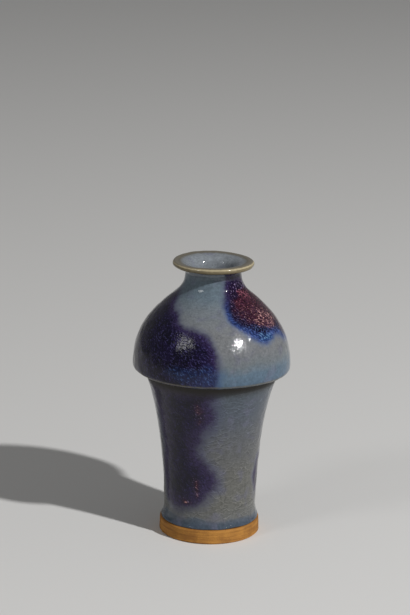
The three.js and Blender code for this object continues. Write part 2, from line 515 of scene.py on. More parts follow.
def curve(points: np.ndarray, step: float) -> np.ndarray:
    """Runs one smooth curve through points.

    Args:
        points: Two points or more.
        step: About how far apart the new points are.

    Returns:
        The curve's points, with both ends.
    """
    spans = np.sqrt(np.linalg.norm(np.diff(points, axis=0), axis=1))
    knots = np.concatenate([[0], np.cumsum(spans)])
    slopes = np.diff(points, axis=0) / spans[:, None]
    if len(points) == 2:
        tangents = np.repeat(slopes, 2, axis=0)
    else:
        weights = (spans[:-1] / (spans[:-1] + spans[1:]))[:, None]
        inner = slopes[:-1] * (1 - weights) + slopes[1:] * weights
        tangents = np.concatenate([[2 * slopes[0] - inner[0]], inner, [2 * slopes[-1] - inner[-1]]])
    at = np.linspace(0, len(spans), len(spans) * CURVE_SAMPLES + 1)
    piece = np.minimum(at.astype(int), len(spans) - 1)
    t = (at - piece)[:, None]
    width = (knots[piece + 1] - knots[piece])[:, None]
    fine = (
        (2 * t**3 - 3 * t**2 + 1) * points[piece]
        + (t**3 - 2 * t**2 + t) * width * tangents[piece]
        + (3 * t**2 - 2 * t**3) * points[piece + 1]
        + (t**3 - t**2) * width * tangents[piece + 1]
    )
    run = along(fine)
    count = max(2, int(math.ceil(run[-1] / step)) + 1)
    wanted = np.linspace(0, run[-1], count)
    return np.stack([np.interp(wanted, run, fine[:, k]) for k in range(2)], 1)


def along(points: np.ndarray) -> np.ndarray:
    """The distance run along a path at each of its points, from 0."""
    return np.concatenate([[0], np.cumsum(np.linalg.norm(np.diff(points, axis=0), axis=1))])


def flowing(points: np.ndarray, step: float) -> np.ndarray:
    """Runs a path through points that is curved but keeps their corners.

    Args:
        points: The path's points.
        step: About how far apart the new points are.

    Returns:
        The finer path.
    """
    corners = [0, *(np.flatnonzero(bends(points) > CORNER_TURN) + 1), len(points) - 1]
    runs = [curve(points[a : b + 1], step) for a, b in zip(corners, corners[1:])]
    return np.concatenate([run[:-1] for run in runs] + [runs[-1][-1:]])


def eased_corner(before: np.ndarray, corner: np.ndarray, after: np.ndarray, count: int) -> np.ndarray:
    """Rounds a corner.

    Args:
        before: Where the round begins.
        corner: The sharp corner.
        after: Where the round ends.
        count: How many points the round has.

    Returns:
        The round's points, with both ends.
    """
    t = np.linspace(0, 1, count)[:, None]
    return (1 - t) ** 2 * before + 2 * t * (1 - t) * corner + t**2 * after


def cut_corners(outline: np.ndarray, rounds: int = 2) -> np.ndarray:
    """Rounds a closed outline by cutting its corners again and again.

    Args:
        outline: The outline's points.
        rounds: How often its corners are cut.

    Returns:
        The rounder outline.
    """
    for _ in range(rounds):
        onward = np.roll(outline, -1, axis=0)
        near = (1 - CORNER_CUT) * outline + CORNER_CUT * onward
        far = CORNER_CUT * outline + (1 - CORNER_CUT) * onward
        outline = np.stack([near, far], 1).reshape(-1, 2)
    return outline


@dataclass
class Turned:
    """A skin swung round the axis from a half-section and then worked by hand.

    Attributes:
        name: The piece's name.
        rows: The half-section, as rows of radius and height.
        open_rows: Whether each row lies in the air.
        columns: How many steps go round.
        poles: The heights where the half-section starts and ends on the axis, if it does.
        shares: Values that the mesh holds for its finish, by name.
        azimuths: The angle of each column, in radians.
        run: How far along the half-section each row lies.
        normals: The way out at each row.
        places: The places by row and column, not yet worked.
        lift: How far each place is moved outwards.
        sink: How far each place is moved down.
    """

    name: str
    rows: np.ndarray
    open_rows: np.ndarray
    columns: int
    poles: Optional[tuple[float, float]] = None
    shares: dict[str, np.ndarray] = field(default_factory=dict)
    azimuths: np.ndarray = field(init=False)
    run: np.ndarray = field(init=False)
    normals: np.ndarray = field(init=False)
    places: np.ndarray = field(init=False)
    lift: np.ndarray = field(init=False)
    sink: np.ndarray = field(init=False)

    def __post_init__(self) -> None:
        """Works out the places, the run of the half-section and its normals."""
        self.azimuths = np.pi + 2 * np.pi * np.arange(self.columns) / self.columns
        self.run = along(self.rows)
        ahead = np.gradient(self.rows, axis=0) if self.poles else self._closed_tangents()
        ahead /= np.maximum(np.linalg.norm(ahead, axis=1, keepdims=True), TINY)
        self.normals = np.stack([ahead[:, 1], -ahead[:, 0]], 1)
        self.places = self._swung(self.rows[:, 0], self.rows[:, 1])
        self.lift = np.zeros((len(self.rows), self.columns))
        self.sink = np.zeros((len(self.rows), self.columns))

    def _closed_tangents(self) -> np.ndarray:
        """The way that a closed half-section runs at each row."""
        return np.roll(self.rows, -1, axis=0) - np.roll(self.rows, 1, axis=0)

    def _swung(self, radius: np.ndarray, height: np.ndarray) -> np.ndarray:
        """Swings one radius and height for each row round the axis.

        Args:
            radius: One radius for each row.
            height: One height for each row.

        Returns:
            Places by row and column.
        """
        across = radius[:, None] * np.sin(self.azimuths)
        back = -radius[:, None] * np.cos(self.azimuths)
        return np.stack([across, back, np.broadcast_to(height[:, None], across.shape)], 2)

    def flat(self) -> np.ndarray:
        """The places as one list."""
        return self.places.reshape(-1, 3)

    def gridded(self, values: np.ndarray) -> np.ndarray:
        """A list of values as rows and columns."""
        return values.reshape(len(self.rows), self.columns)

    def unrolled(self, outline: Sequence[tuple[float, float]]) -> np.ndarray:
        """Finds where heights on the outer face lie along the half-section.

        Args:
            outline: Rows of azimuth and height.

        Returns:
            Rows of azimuth and run.
        """
        widest = int(np.argmax(np.where(self.open_rows, self.rows[:, 0], 0)))
        highest = int(np.argmax(np.where(self.open_rows, self.rows[:, 1], 0)))
        first, last = (widest, highest) if widest < highest else (0, highest)
        heights, runs = self.rows[first : last + 1, 1], self.run[first : last + 1]
        edge = cut_corners(np.array(outline, float))
        below = np.minimum(edge[:, 1] - heights[0], 0)
        return np.stack([edge[:, 0], np.interp(edge[:, 1], heights, runs) + below], 1)

    def build(self) -> bpy.types.Object:
        """Makes the mesh with its map and its values.

        Returns:
            The new object, in the scene.
        """
        outward = self._swung(self.normals[:, 0], self.normals[:, 1])
        placed = self.places + outward * self.lift[..., None]
        placed[..., 2] -= self.sink
        vertices = placed.reshape(-1, 3)
        count, columns = len(self.rows), self.columns
        if self.poles:
            tips = np.array([[0, 0, self.poles[0]], [0, 0, self.poles[1]]])
            vertices = np.concatenate([vertices, tips])
        faces = self._quads(count if not self.poles else count - 1)
        if self.poles:
            faces += self._fans(count * columns)
        mesh = bpy.data.meshes.new(self.name)
        mesh.from_pydata((vertices * MM).tolist(), [], faces)
        mesh.shade_smooth()
        for name, values in self.shares.items():
            self._hold(mesh, name, values)
        self._lay_map(mesh)
        mesh.update()
        made = bpy.data.objects.new(self.name, mesh)
        bpy.context.scene.collection.objects.link(made)
        return made

    def _quads(self, bands: int) -> list[tuple[int, ...]]:
        """The faces between neighbouring rows."""
        count, columns = len(self.rows), self.columns
        low = np.arange(bands)[:, None] * columns
        high = (np.arange(bands)[:, None] + 1) % count * columns
        here = np.arange(columns)[None]
        onward = (here + 1) % columns
        corners = np.stack([low + here, low + onward, high + onward, high + here], 2)
        return [tuple(face) for face in corners.reshape(-1, 4).tolist()]

    def _fans(self, first_tip: int) -> list[tuple[int, ...]]:
        """The triangles that close a skin at the axis.

        Args:
            first_tip: The number of the first row's tip; the last row's tip follows it.

        Returns:
            The triangles.
        """
        last = first_tip - self.columns
        faces: list[tuple[int, ...]] = []
        for here in range(self.columns):
            onward = (here + 1) % self.columns
            faces.append((first_tip, onward, here))
            faces.append((last + here, last + onward, first_tip + 1))
        return faces

    def _hold(self, mesh: bpy.types.Mesh, name: str, values: np.ndarray) -> None:
        """Stores values on the mesh's vertices.

        Args:
            mesh: The mesh.
            name: The values' name.
            values: One number or vector for each place.
        """
        wide = values.ndim == 2
        tips = len(mesh.vertices) - len(values)
        full = np.concatenate([values, np.repeat(values[-1:], tips, axis=0)])
        made = mesh.attributes.new(name, "FLOAT_VECTOR" if wide else "FLOAT", "POINT")
        made.data.foreach_set("vector" if wide else "value", full.astype(np.float32).ravel())

    def _lay_map(self, mesh: bpy.types.Mesh) -> None:
        """Unrolls the skin flat, with most of the map for the face in the air.

        Args:
            mesh: The mesh, with its faces.
        """
        count, columns = len(self.rows), self.columns
        closing = float(np.linalg.norm(self.rows[0] - self.rows[-1]))
        steps = np.append(np.diff(self.run), closing)
        steps *= np.where(self.open_rows, 1.0, MAP_BACK_SHARE)
        heights = np.concatenate([[0], np.cumsum(steps)])
        heights = MAP_MARGIN + (1 - 2 * MAP_MARGIN) * heights / heights[-1]
        corner = self._listed(mesh.loops, "vertex_index")
        starts = self._listed(mesh.polygons, "loop_start")
        totals = self._listed(mesh.polygons, "loop_total")
        tip = corner >= count * columns
        row, column = corner // columns, corner % columns
        row = np.where(tip, np.where(corner == count * columns, 0, count), row)
        lowest = np.minimum.reduceat(row, starts)
        highest = np.maximum.reduceat(row, starts)
        wraps = np.repeat((highest - lowest) > 1, totals) & (row == 0) & ~tip
        row = np.where(wraps, count, row)
        left = np.minimum.reduceat(np.where(tip, columns, column), starts)
        right = np.maximum.reduceat(np.where(tip, -1, column), starts)
        over = np.repeat((right - left) > 1, totals) & (column == 0) & ~tip
        column = np.where(over, columns, column)
        middle = np.repeat(np.where((right - left) > 1, columns - 0.5, left + 0.5), totals)
        flat = np.stack([np.where(tip, middle, column) / columns, heights[row]], 1)
        layer = mesh.uv_layers.new(name=MAP_NAME)
        layer.uv.foreach_set("vector", flat.astype(np.float32).ravel())

    @staticmethod
    def _listed(items: bpy.types.bpy_prop_collection, name: str) -> np.ndarray:
        """One whole number from each item of a mesh, by its name."""
        values = np.empty(len(items), np.int32)
        items.foreach_get(name, values)
        return values


def settle(piece: bpy.types.Object, finish: bpy.types.Material, slot: str, *nodes: str) -> None:
    """Dresses a piece and ties it to the frame.

    Args:
        piece: The piece, in place.
        finish: Its material.
        slot: Not used.
        nodes: The nodes that it stands for.
    """
    piece.data.materials.append(finish)
    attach(piece, BODY)
    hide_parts(*nodes)
    LOG.info("%s stands for %s, %d faces", piece.name, ", ".join(nodes), len(piece.data.polygons))


class Fringe(Enum):
    """How a splash ends: in a soft violet haze or in a bright cobalt rim."""

    VIOLET = "violet"
    COBALT = "cobalt"


@dataclass(frozen=True)
class Pool:
    """A pool of colour in the glaze.

    Attributes:
        outline: Azimuths and heights round its edge, in order.
        softness: How widely its edge fades; 1 is a crisp edge.
    """

    outline: tuple[tuple[float, float], ...]
    softness: float = 1.0

    def depth(self, turns: np.ndarray, runs: np.ndarray, edge: np.ndarray, radius: float) -> np.ndarray:
        """How far each place lies inside the pool.

        Args:
            turns: The places' azimuths in degrees.
            runs: The places' runs along the coat in millimetres.
            edge: The outline, as rows of azimuth and run.
            radius: The radius that azimuths are unrolled at.

        Returns:
            Millimetres inside the edge, below 0 outside, less for a soft edge.
        """
        middle = edge[:, 0].mean()
        around = (turns - middle + 180) % 360 - 180
        points = np.stack([np.radians(around) * radius, runs], 1)
        starts = np.stack([np.radians(edge[:, 0] - middle) * radius, edge[:, 1]], 1)
        close = ((points > starts.min(0) - REACH) & (points < starts.max(0) + REACH)).all(1)
        depths = np.full(len(points), FAR_OUTSIDE)
        points = points[close]
        inside = np.zeros(len(points), bool)
        nearest = np.full(len(points), np.inf)
        for one, other in zip(starts, np.roll(starts, -1, axis=0)):
            span = other - one
            apart = points - one
            share = np.clip(apart @ span / max(float(span @ span), TINY), 0, 1)
            nearest = np.minimum(nearest, ((apart - share[:, None] * span) ** 2).sum(1))
            if one[1] != other[1]:
                level = (one[1] > points[:, 1]) != (other[1] > points[:, 1])
                inside ^= level & (apart[:, 0] < span[0] * apart[:, 1] / span[1])
        depths[close] = np.where(inside, 1, -1) * np.sqrt(nearest) / self.softness
        return depths


@dataclass(frozen=True)
class Splash:
    """A splash of colour.

    Attributes:
        fringe: How it ends.
        pool: Where it lies.
        flushes: Its red parts.
        embers: The pale parts of those.
        teals: Its teal parts.
    """

    fringe: Fringe
    pool: Pool
    flushes: tuple[Pool, ...] = ()
    embers: tuple[Pool, ...] = ()
    teals: tuple[Pool, ...] = ()


class GlazeGraph(Graph):
    """The splashed glaze's node tree, with the readings that its layers share.

    Attributes:
        sheet: The place on the unrolled coat.
        height: The height above the ground.
        bubbles: Fine mottling.
        course: The place on the coat, drawn out along the way that the splashes ran.
        specks: Fine specks along that way.
        patches: Broad patches.
    """

    # The clouds of those readings. WANDER pushes the course about, and DRAWN_OUT stretches it upwards.
    BUBBLES = Cloud(1.5, 2.0, 0.6)
    WANDER = Cloud(4.0, 1.0)
    WANDER_REACH = 3.0
    DRAWN_OUT = (1.0, 1.0, 0.7)
    SPECKS = Cloud(1.1, 2.0, 0.6)
    PATCHES = Cloud(6.5)

    def __init__(self, name: str) -> None:
        """Starts the tree with its readings."""
        super().__init__(name)
        self.sheet = self.vector("sheet")
        self.height = self.axis(self.place(), "Z")
        self.bubbles = self.noise(self.sheet, self.BUBBLES)
        self.course = self.strayed(self.vector("flow"), self.WANDER, self.WANDER_REACH) * self.DRAWN_OUT
        self.specks = self.noise(self.course, self.SPECKS)
        self.patches = self.noise(self.sheet, self.PATCHES)

    def strayed(self, place: Wire, cloud: Cloud, reach: float) -> Wire:
        """A place that a cloud pushes about, within reach in all."""
        return place + self.noise(self.sheet, cloud, "Color").sway(reach)


@dataclass(frozen=True)
class Ground:
    """The grey-blue ground, which shifts from warm to blue with height.

    Attributes:
        stops: Heights, and the colour at each.
        top: The height where the run of colours ends.
        drift: Broad clouds that shift the colours up and down by drift_reach.
        tide: Smaller clouds that do the same by tide_reach and gather a violet haze.
        inside: The two colours inside the mouth.
        haze: The violet haze, which shows in haze_band by haze_share.
        curds: The finest clouds.
        least: The least brightness, to which bubbles and curds add their shares.
    """

    stops: tuple[tuple[float, Colour], ...] = (
        (11, paint(66, 77, 90)),
        (16, paint(76, 84, 94)),
        (18, paint(97, 98, 97)),
        (28, paint(98, 98, 94)),
        (50, paint(94, 94, 91)),
        (74, paint(87, 89, 92)),
        (98, paint(77, 84, 94)),
        (118, paint(73, 82, 90)),
        (122, paint(77, 97, 116)),
        (131, paint(82, 101, 117)),
        (138, paint(104, 110, 114)),
        (145, paint(110, 112, 115)),
        (158, paint(114, 116, 118)),
        (169, paint(111, 117, 122)),
        (178, paint(98, 112, 122)),
        (196, paint(92, 105, 114)),
    )
    top: float = 200.0
    drift: Cloud = Cloud(26.0, 3.0)
    drift_reach: float = 8.0
    tide: Cloud = Cloud(9.0, 3.0)
    tide_reach: float = 6.0
    inside: Pair = (paint(134, 140, 147), paint(114, 119, 123))
    haze: Colour = paint(98, 98, 118)
    haze_band: Band = (0.50, 0.70)
    haze_share: float = 0.4
    curds: Cloud = Cloud(4.0, 3.0, 0.6)
    least: float = 0.35
    bubble_share: float = 0.8
    curd_share: float = 0.5

    def colour(self, graph: GlazeGraph) -> Wire:
        """Works out the ground's colour.

        Args:
            graph: The glaze's graph.

        Returns:
            The colour.
        """
        drift = graph.noise(graph.sheet, self.drift)
        tide = graph.noise(graph.sheet, self.tide)
        height = graph.height + drift.sway(self.drift_reach) + tide.sway(self.tide_reach)
        colour = graph.ramp(height * (1 / self.top), [(at / self.top, tone) for at, tone in self.stops])
        colour = graph.mix(colour, graph.mix(*self.inside, drift), graph.value("inside"))
        colour = graph.mix(colour, self.haze, graph.smooth(tide, *self.haze_band) * self.haze_share)
        curds = graph.noise(graph.sheet, self.curds)
        return colour * (self.least + graph.bubbles * self.bubble_share + curds * self.curd_share)


@dataclass(frozen=True)
class Splashing:
    """The purple and blue of the splashes, from their hazy halo to their dark heart.

    Depths are millimetres inside a splash's edge. The first colour of a pair is for a violet fringe and
    the second for a cobalt one, but the heart's two lie in patches. The cap's rim has its own blues.

    Attributes:
        ragged: Clouds that fray the edge by ragged_reach, as the bubbles do by bubble_reach.
        narrow_band: The heights where the narrowing neck draws the depths together by narrow_share.
        cobalt_band: The heights where the cobalt dies away up the neck.
        rim_band: The heights at the top of the cap's rim, where its blues begin.
        crease_band: The heights in the hollow under the rim, where they end.
        halo: The haze outside the edge, in halo_band by halo_share.
        edge: The edge, in edge_band.
        heart: The dark middle, in heart_band.
        wet_band: The depths where the flecks and the teal parts begin and are full.
        teal: The teal parts, frayed by teal_reach, in teal_band by teal_share and cobalt_teal_share.
        flecks: The pale flecks; teal_flecks are those in the teal parts.
        fleck_band: The specks that show as pale flecks, more of them by cobalt_flecks.
        lively: How strong the flecks are; cap_lively is added on the cap, less crown_calm on its crown.
        gap: The dark between the flecks, in gap_band by gap_share.
    """

    ragged: Cloud = Cloud(3.6)
    ragged_reach: float = 3.0
    bubble_reach: float = 2.0
    narrow_band: Band = (166.0, 182.0)
    narrow_share: float = 0.5
    cobalt_band: Band = (181.0, 167.0)
    rim_band: Band = (137.0, 130.0)
    crease_band: Band = (118.0, 122.0)
    halo: Pair = (paint(74, 79, 102), paint(86, 102, 134))
    rim_halo: Colour = paint(58, 84, 124)
    halo_band: Band = (-4.5, 0.0)
    halo_share: float = 0.5
    edge: Pair = (paint(44, 34, 68), paint(42, 60, 112))
    rim_edge: Colour = paint(28, 36, 78)
    edge_band: Band = (-2.0, 2.5)
    heart: Pair = (paint(9, 6, 28), paint(22, 14, 48))
    heart_patch_band: Band = (0.35, 0.65)
    heart_band: Band = (2.0, 7.5)
    wet_band: Band = (-1.5, 3.0)
    teal: Pair = (paint(24, 40, 84), paint(32, 66, 116))
    teal_reach: float = 9.0
    teal_band: Band = (-2.5, 3.0)
    teal_share: float = 0.5
    cobalt_teal_share: float = 0.25
    flecks: Pair = (paint(76, 72, 120), paint(92, 116, 172))
    teal_flecks: Pair = (paint(66, 92, 140), paint(124, 166, 196))
    fleck_band: Band = (0.545, 0.68)
    cobalt_flecks: float = 0.035
    lively: float = 0.3
    cap_lively: float = 0.4
    cap_band: Band = (112.0, 126.0)
    crown_calm: float = 0.3
    crown_band: Band = (152.0, 166.0)
    gap: Colour = paint(7, 5, 24)
    gap_band: Band = (0.50, 0.36)
    gap_share: float = 0.65

    def over(self, graph: GlazeGraph, colour: Wire) -> Wire:
        """Lays the splashes over the ground.

        Args:
            graph: The glaze's graph.
            colour: The ground's colour.

        Returns:
            The colour with the splashes on it.
        """
        ragged = graph.noise(graph.sheet, self.ragged).sway(self.ragged_reach)
        narrow = 1.0 - graph.smooth(graph.height, *self.narrow_band) * self.narrow_share
        depth = graph.value("splash") * narrow + ragged + graph.bubbles.sway(self.bubble_reach)
        cobalt = graph.value("cobalt") * graph.smooth(graph.height, *self.cobalt_band)
        rim = graph.smooth(graph.height, *self.rim_band) * graph.smooth(graph.height, *self.crease_band)

        halo = graph.mix(graph.mix(*self.halo, cobalt), self.rim_halo, rim)
        colour = graph.mix(colour, halo, graph.smooth(depth, *self.halo_band) * self.halo_share)
        edge = graph.mix(graph.mix(*self.edge, cobalt), self.rim_edge, rim)
        colour = graph.mix(colour, edge, graph.smooth(depth, *self.edge_band))
        heart = graph.mix(*self.heart, graph.smooth(graph.patches, *self.heart_patch_band))
        colour = graph.mix(colour, heart, graph.smooth(depth, *self.heart_band))

        wet = graph.smooth(depth, *self.wet_band)
        inward = graph.value("teal") + graph.patches.sway(self.teal_reach)
        teal = graph.smooth(inward, *self.teal_band) * wet
        teal_shown = teal * (self.teal_share + cobalt * self.cobalt_teal_share)
        colour = graph.mix(colour, graph.mix(*self.teal, cobalt), teal_shown)
        return self._flecked(graph, colour, cobalt, wet, teal)

    def _flecked(self, graph: GlazeGraph, colour: Wire, cobalt: Wire, wet: Wire, teal: Wire) -> Wire:
        """Lays pale flecks and the dark between them over the splashes.

        Args:
            graph: The glaze's graph.
            colour: The colour so far.
            cobalt: Where the fringe is cobalt.
            wet: Where a splash lies.
            teal: Where it is teal.

        Returns:
            The colour with the flecks on it.
        """
        light = graph.mix(graph.mix(*self.flecks, cobalt), graph.mix(*self.teal_flecks, cobalt), teal)
        cap = graph.smooth(graph.height, *self.cap_band) * self.cap_lively
        crown = graph.smooth(graph.height, *self.crown_band) * self.crown_calm
        pale = graph.smooth(graph.specks + cobalt * self.cobalt_flecks, *self.fleck_band)
        colour = graph.mix(colour, light, pale * wet * (self.lively + cap - crown))
        gaps = graph.smooth(graph.specks, *self.gap_band)
        return graph.mix(colour, self.gap, gaps * wet * self.gap_share)


@dataclass(frozen=True)
class Flush:
    """The red flushes in the splashes, with their pink flecks.

    Attributes:
        speck_reach: How far the specks fray a flush's edge.
        band: The depths where a flush begins and is full.
        ember_band: The same for its pale embers.
        high_band: The heights on the neck where it turns violet.
        rosy_band: The heights where its flecks turn from pink to crimson.
        red: Its cool and its warm colour; warm_band says where it is which, by depth, ember and neck.
        share: How strong the red is.
        gap: The dark between the flecks, in gap_band by gap_share.
        flecks: Its flecks, in fleck_band, more of them by ember_flecks.
        aside: How far the flecks are moved from the specks, so that the two differ.
        violet: The flecks' colour where the red is cool.
        pink: Their two colours where it is warm.
        fleck_share: How strong they are; ember_share and neck_share are added on embers and neck.
    """

    speck_reach: float = 9.0
    band: Band = (-2.5, 4.0)
    ember_band: Band = (-3.5, 2.5)
    high_band: Band = (176.0, 184.0)
    rosy_band: Band = (167.0, 176.0)
    red: Pair = (paint(28, 11, 42), paint(60, 17, 30))
    warm_band: Band = (0.50, 0.85)
    warm_by_depth: float = 0.035
    warm_by_ember: float = 0.25
    cool_by_neck: float = 0.3
    share: float = 0.8
    gap: Colour = paint(14, 5, 20)
    gap_band: Band = (0.54, 0.40)
    gap_share: float = 0.85
    flecks: Cloud = Cloud(1.05, 2.0, 0.65)
    aside: tuple[float, float, float] = (40.0, 0.0, 0.0)
    fleck_band: Band = (0.575, 0.66)
    ember_flecks: float = 0.03
    violet: Colour = paint(156, 138, 178)
    pink: Pair = (paint(210, 158, 156), paint(176, 104, 122))
    fleck_share: float = 0.44
    ember_share: float = 0.42
    neck_share: float = 0.3

    def over(self, graph: GlazeGraph, colour: Wire) -> Wire:
        """Lays the flushes over the splashes.

        Args:
            graph: The glaze's graph.
            colour: The colour so far.

        Returns:
            The colour with the flushes on it.
        """
        inward = graph.value("flush")
        flush = graph.smooth(inward + graph.specks.sway(self.speck_reach), *self.band)
        glow = graph.smooth(graph.value("ember"), *self.ember_band)
        high = graph.smooth(graph.height, *self.high_band)
        heat = inward * self.warm_by_depth + graph.patches + glow * self.warm_by_ember
        warm = graph.smooth(heat - high * self.cool_by_neck, *self.warm_band)
        colour = graph.mix(colour, graph.mix(*self.red, warm), flush * self.share)
        gaps = graph.smooth(graph.specks, *self.gap_band)
        colour = graph.mix(colour, self.gap, gaps * flush * self.gap_share)
        flecks = graph.noise(graph.course + self.aside, self.flecks)
        pink = graph.mix(*self.pink, graph.smooth(graph.height, *self.rosy_band))
        shown = graph.smooth(flecks + glow * self.ember_flecks, *self.fleck_band) * flush
        strength = self.fleck_share + glow * self.ember_share + high * self.neck_share
        return graph.mix(colour, graph.mix(self.violet, pink, warm), shown * strength)


@dataclass(frozen=True)
class ThinEdges:
    """Glaze that thins to olive and tan over sharp edges, pale on the lip's crest and dark in the creases.

    The pale crest is partly glaze rubbed thin and partly a painted highlight. The dark in the creases is
    partly brown pooled glaze and partly painted shade, under the cap's rim and in the hollow under the lip.

    Attributes:
        uneven: Clouds between the two colours of a pair.
        frayed: Clouds that fray the thinning by frayed_reach.
        olive: The colours of thin glaze, in olive_band.
        tan: The colours of thinner glaze, in tan_band.
        inner_tan: The tan inside the mouth, where it shows by inner_share.
        worn_highlight: The pale colour on the lip's crest, in worn_highlight_band: partly glaze rubbed
            thin, partly a painted highlight.
        crease_pool_and_shade: The dark colour in the creases: partly brown pooled glaze, partly painted
            shade.
    """

    uneven: Cloud = Cloud(7.0, 3.0)
    frayed: Cloud = Cloud(2.4)
    frayed_reach: float = 0.3
    olive: Pair = (paint(108, 103, 90), paint(88, 84, 72))
    olive_band: Band = (0.1, 0.6)
    tan: Pair = (paint(124, 112, 85), paint(100, 90, 67))
    inner_tan: Colour = paint(114, 109, 100)
    inner_share: float = 0.7
    tan_band: Band = (0.5, 0.95)
    worn_highlight: Colour = paint(180, 168, 137)
    worn_highlight_band: Band = (1.05, 1.45)
    crease_pool_and_shade: Colour = paint(36, 32, 26)

    def over(self, graph: GlazeGraph, colour: Wire) -> Wire:
        """Thins and darkens the glaze.

        Args:
            graph: The glaze's graph.
            colour: The colour so far.

        Returns:
            The colour with its edges.
        """
        uneven = graph.noise(graph.sheet, self.uneven)
        thin = graph.value("thin") + graph.noise(graph.sheet, self.frayed).sway(self.frayed_reach)
        colour = graph.mix(colour, graph.mix(*self.olive, uneven), graph.smooth(thin, *self.olive_band))
        inner = graph.value("inside") * self.inner_share
        tan = graph.mix(graph.mix(*self.tan, uneven), self.inner_tan, inner)
        colour = graph.mix(colour, tan, graph.smooth(thin, *self.tan_band))
        # Painted highlight, partly glaze rubbed thin: a pale line along the lip's crest.
        colour = graph.mix(colour, self.worn_highlight, graph.smooth(thin, *self.worn_highlight_band))
        # Painted shade, partly brown pooled glaze: darkens the creases under the cap's rim and the hollow
        # under the lip.
        return graph.mix(colour, self.crease_pool_and_shade, graph.value("crease_pool_and_shade"))


@dataclass(frozen=True)
class Cracks:
    """Long fine cracks, stronger on the lower trunk and in parts of the coat only.

    Attributes:
        bent: Clouds that bend the cracks by bent_reach.
        flattened: How the net of cracks is drawn together upwards.
        size: How far apart the cracks are.
        width: How far from its middle a crack ends and is full, in sizes.
        shown: Clouds in whose shown_band the cracks show.
        low_band: The heights between which they grow from least to full strength.
        tone: How bright the glaze is in a crack, by share.
    """

    bent: Cloud = Cloud(12.0)
    bent_reach: float = 9.0
    flattened: tuple[float, float, float] = (1.0, 1.0, 1.35)
    size: float = 13.0
    width: Band = (0.026, 0.010)
    shown: Cloud = Cloud(30.0, 1.0)
    shown_band: Band = (0.40, 0.60)
    low_band: Band = (90.0, 50.0)
    least: float = 0.25
    tone: float = 0.66
    share: float = 0.7

    def lines(self, graph: GlazeGraph) -> Wire:
        """Finds the cracks.

        Args:
            graph: The glaze's graph.

        Returns:
            1 on a strong crack, 0 off it.
        """
        net = graph.strayed(graph.sheet, self.bent, self.bent_reach) * self.flattened
        lines = graph.smooth(graph.cells(net, self.size, Distance.TO_EDGE), *self.width)
        shown = graph.smooth(graph.noise(graph.sheet, self.shown), *self.shown_band)
        low = graph.smooth(graph.height, *self.low_band)
        return lines * shown * (self.least + low * (1 - self.least))


@dataclass(frozen=True)
class Crazing:
    """The trunk's fine pale crazing, each line with a dark one beside it, and dark pinholes.

    Attributes:
        bent: Clouds that bend the lines by bent_reach.
        flattened: How the net of lines is drawn together upwards.
        beside: How far off the dark lines lie.
        size: How far apart the lines are.
        width: How far from its middle a line ends and is full, in sizes.
        shown: Clouds in whose shown_band the lines show, read shown_aside from the place.
        top_band: The heights where the crazing ends below the cap.
        foot_band: The heights where it ends above the foot.
        dark_tone: How bright the glaze is in a dark line.
        pale_tone: How bright it is in a pale line.
        holes: How far apart the pinholes are.
        hole_width: How far from its middle a pinhole ends and is full, in those distances.
        hole_tone: How bright the glaze is in a pinhole, by hole_share.
    """

    bent: Cloud = Cloud(5.0)
    bent_reach: float = 4.0
    flattened: tuple[float, float, float] = (1.0, 1.0, 2.6)
    beside: tuple[float, float, float] = (0.0, 0.0, 1.7)
    size: float = 9.0
    width: Band = (0.065, 0.018)
    shown: Cloud = Cloud(16.0, 1.0)
    shown_aside: tuple[float, float, float] = (0.0, 0.0, 90.0)
    shown_band: Band = (0.38, 0.60)
    top_band: Band = (118.0, 100.0)
    foot_band: Band = (13.0, 20.0)
    dark_tone: float = 0.74
    pale_tone: float = 1.42
    holes: float = 4.6
    hole_width: Band = (0.11, 0.06)
    hole_tone: float = 0.6
    hole_share: float = 0.8

    def over(self, graph: GlazeGraph, colour: Wire) -> Wire:
        """Draws the crazing and the pinholes.

        Args:
            graph: The glaze's graph.
            colour: The colour so far.

        Returns:
            The colour with both.
        """
        net = graph.strayed(graph.sheet, self.bent, self.bent_reach) * self.flattened
        trunk = graph.smooth(graph.height, *self.top_band) * graph.smooth(graph.height, *self.foot_band)
        clouds = graph.noise(graph.sheet + self.shown_aside, self.shown)
        shown = graph.smooth(clouds, *self.shown_band) * trunk
        for place, tone in ((net + self.beside, self.dark_tone), (net, self.pale_tone)):
            lines = graph.smooth(graph.cells(place, self.size, Distance.TO_EDGE), *self.width)
            colour = graph.mix(colour, colour * tone, lines * shown)
        holes = graph.smooth(graph.cells(graph.sheet, self.holes, Distance.TO_MIDDLE), *self.hole_width)
        return graph.mix(colour, colour * self.hole_tone, holes * self.hole_share)


@dataclass(frozen=True)
class Relief:
    """The glaze's fine relief: a broad peel, a finer skin, and pits that end below the mouth.

    Attributes:
        peel: The clouds of the peel, peel_depth deep.
        skin: The clouds of the skin, skin_depth deep.
        pits: How far apart the pits are; each is pit_depth deep and rises over pit_band.
        pit_heights: The heights where the pits end and where they are full.
    """

    peel: Cloud = Cloud(6.0)
    peel_depth: float = 0.10
    skin: Cloud = Cloud(1.4, 1.0)
    skin_depth: float = 0.03
    pits: float = 0.95
    pit_band: Band = (0.0, 0.60)
    pit_depth: float = 0.05
    pit_heights: Band = (180.0, 172.0)

    def normal(self, graph: GlazeGraph) -> Wire:
        """Works out the bent normal.

        Args:
            graph: The glaze's graph.

        Returns:
            The normal.
        """
        peel = graph.bump(graph.noise(graph.sheet, self.peel), self.peel_depth)
        skin = graph.bump(graph.noise(graph.sheet, self.skin), self.skin_depth, peel)
        pits = graph.smooth(graph.cells(graph.sheet, self.pits, Distance.TO_MIDDLE), *self.pit_band)
        return graph.bump(pits * graph.smooth(graph.height, *self.pit_heights), self.pit_depth, skin)


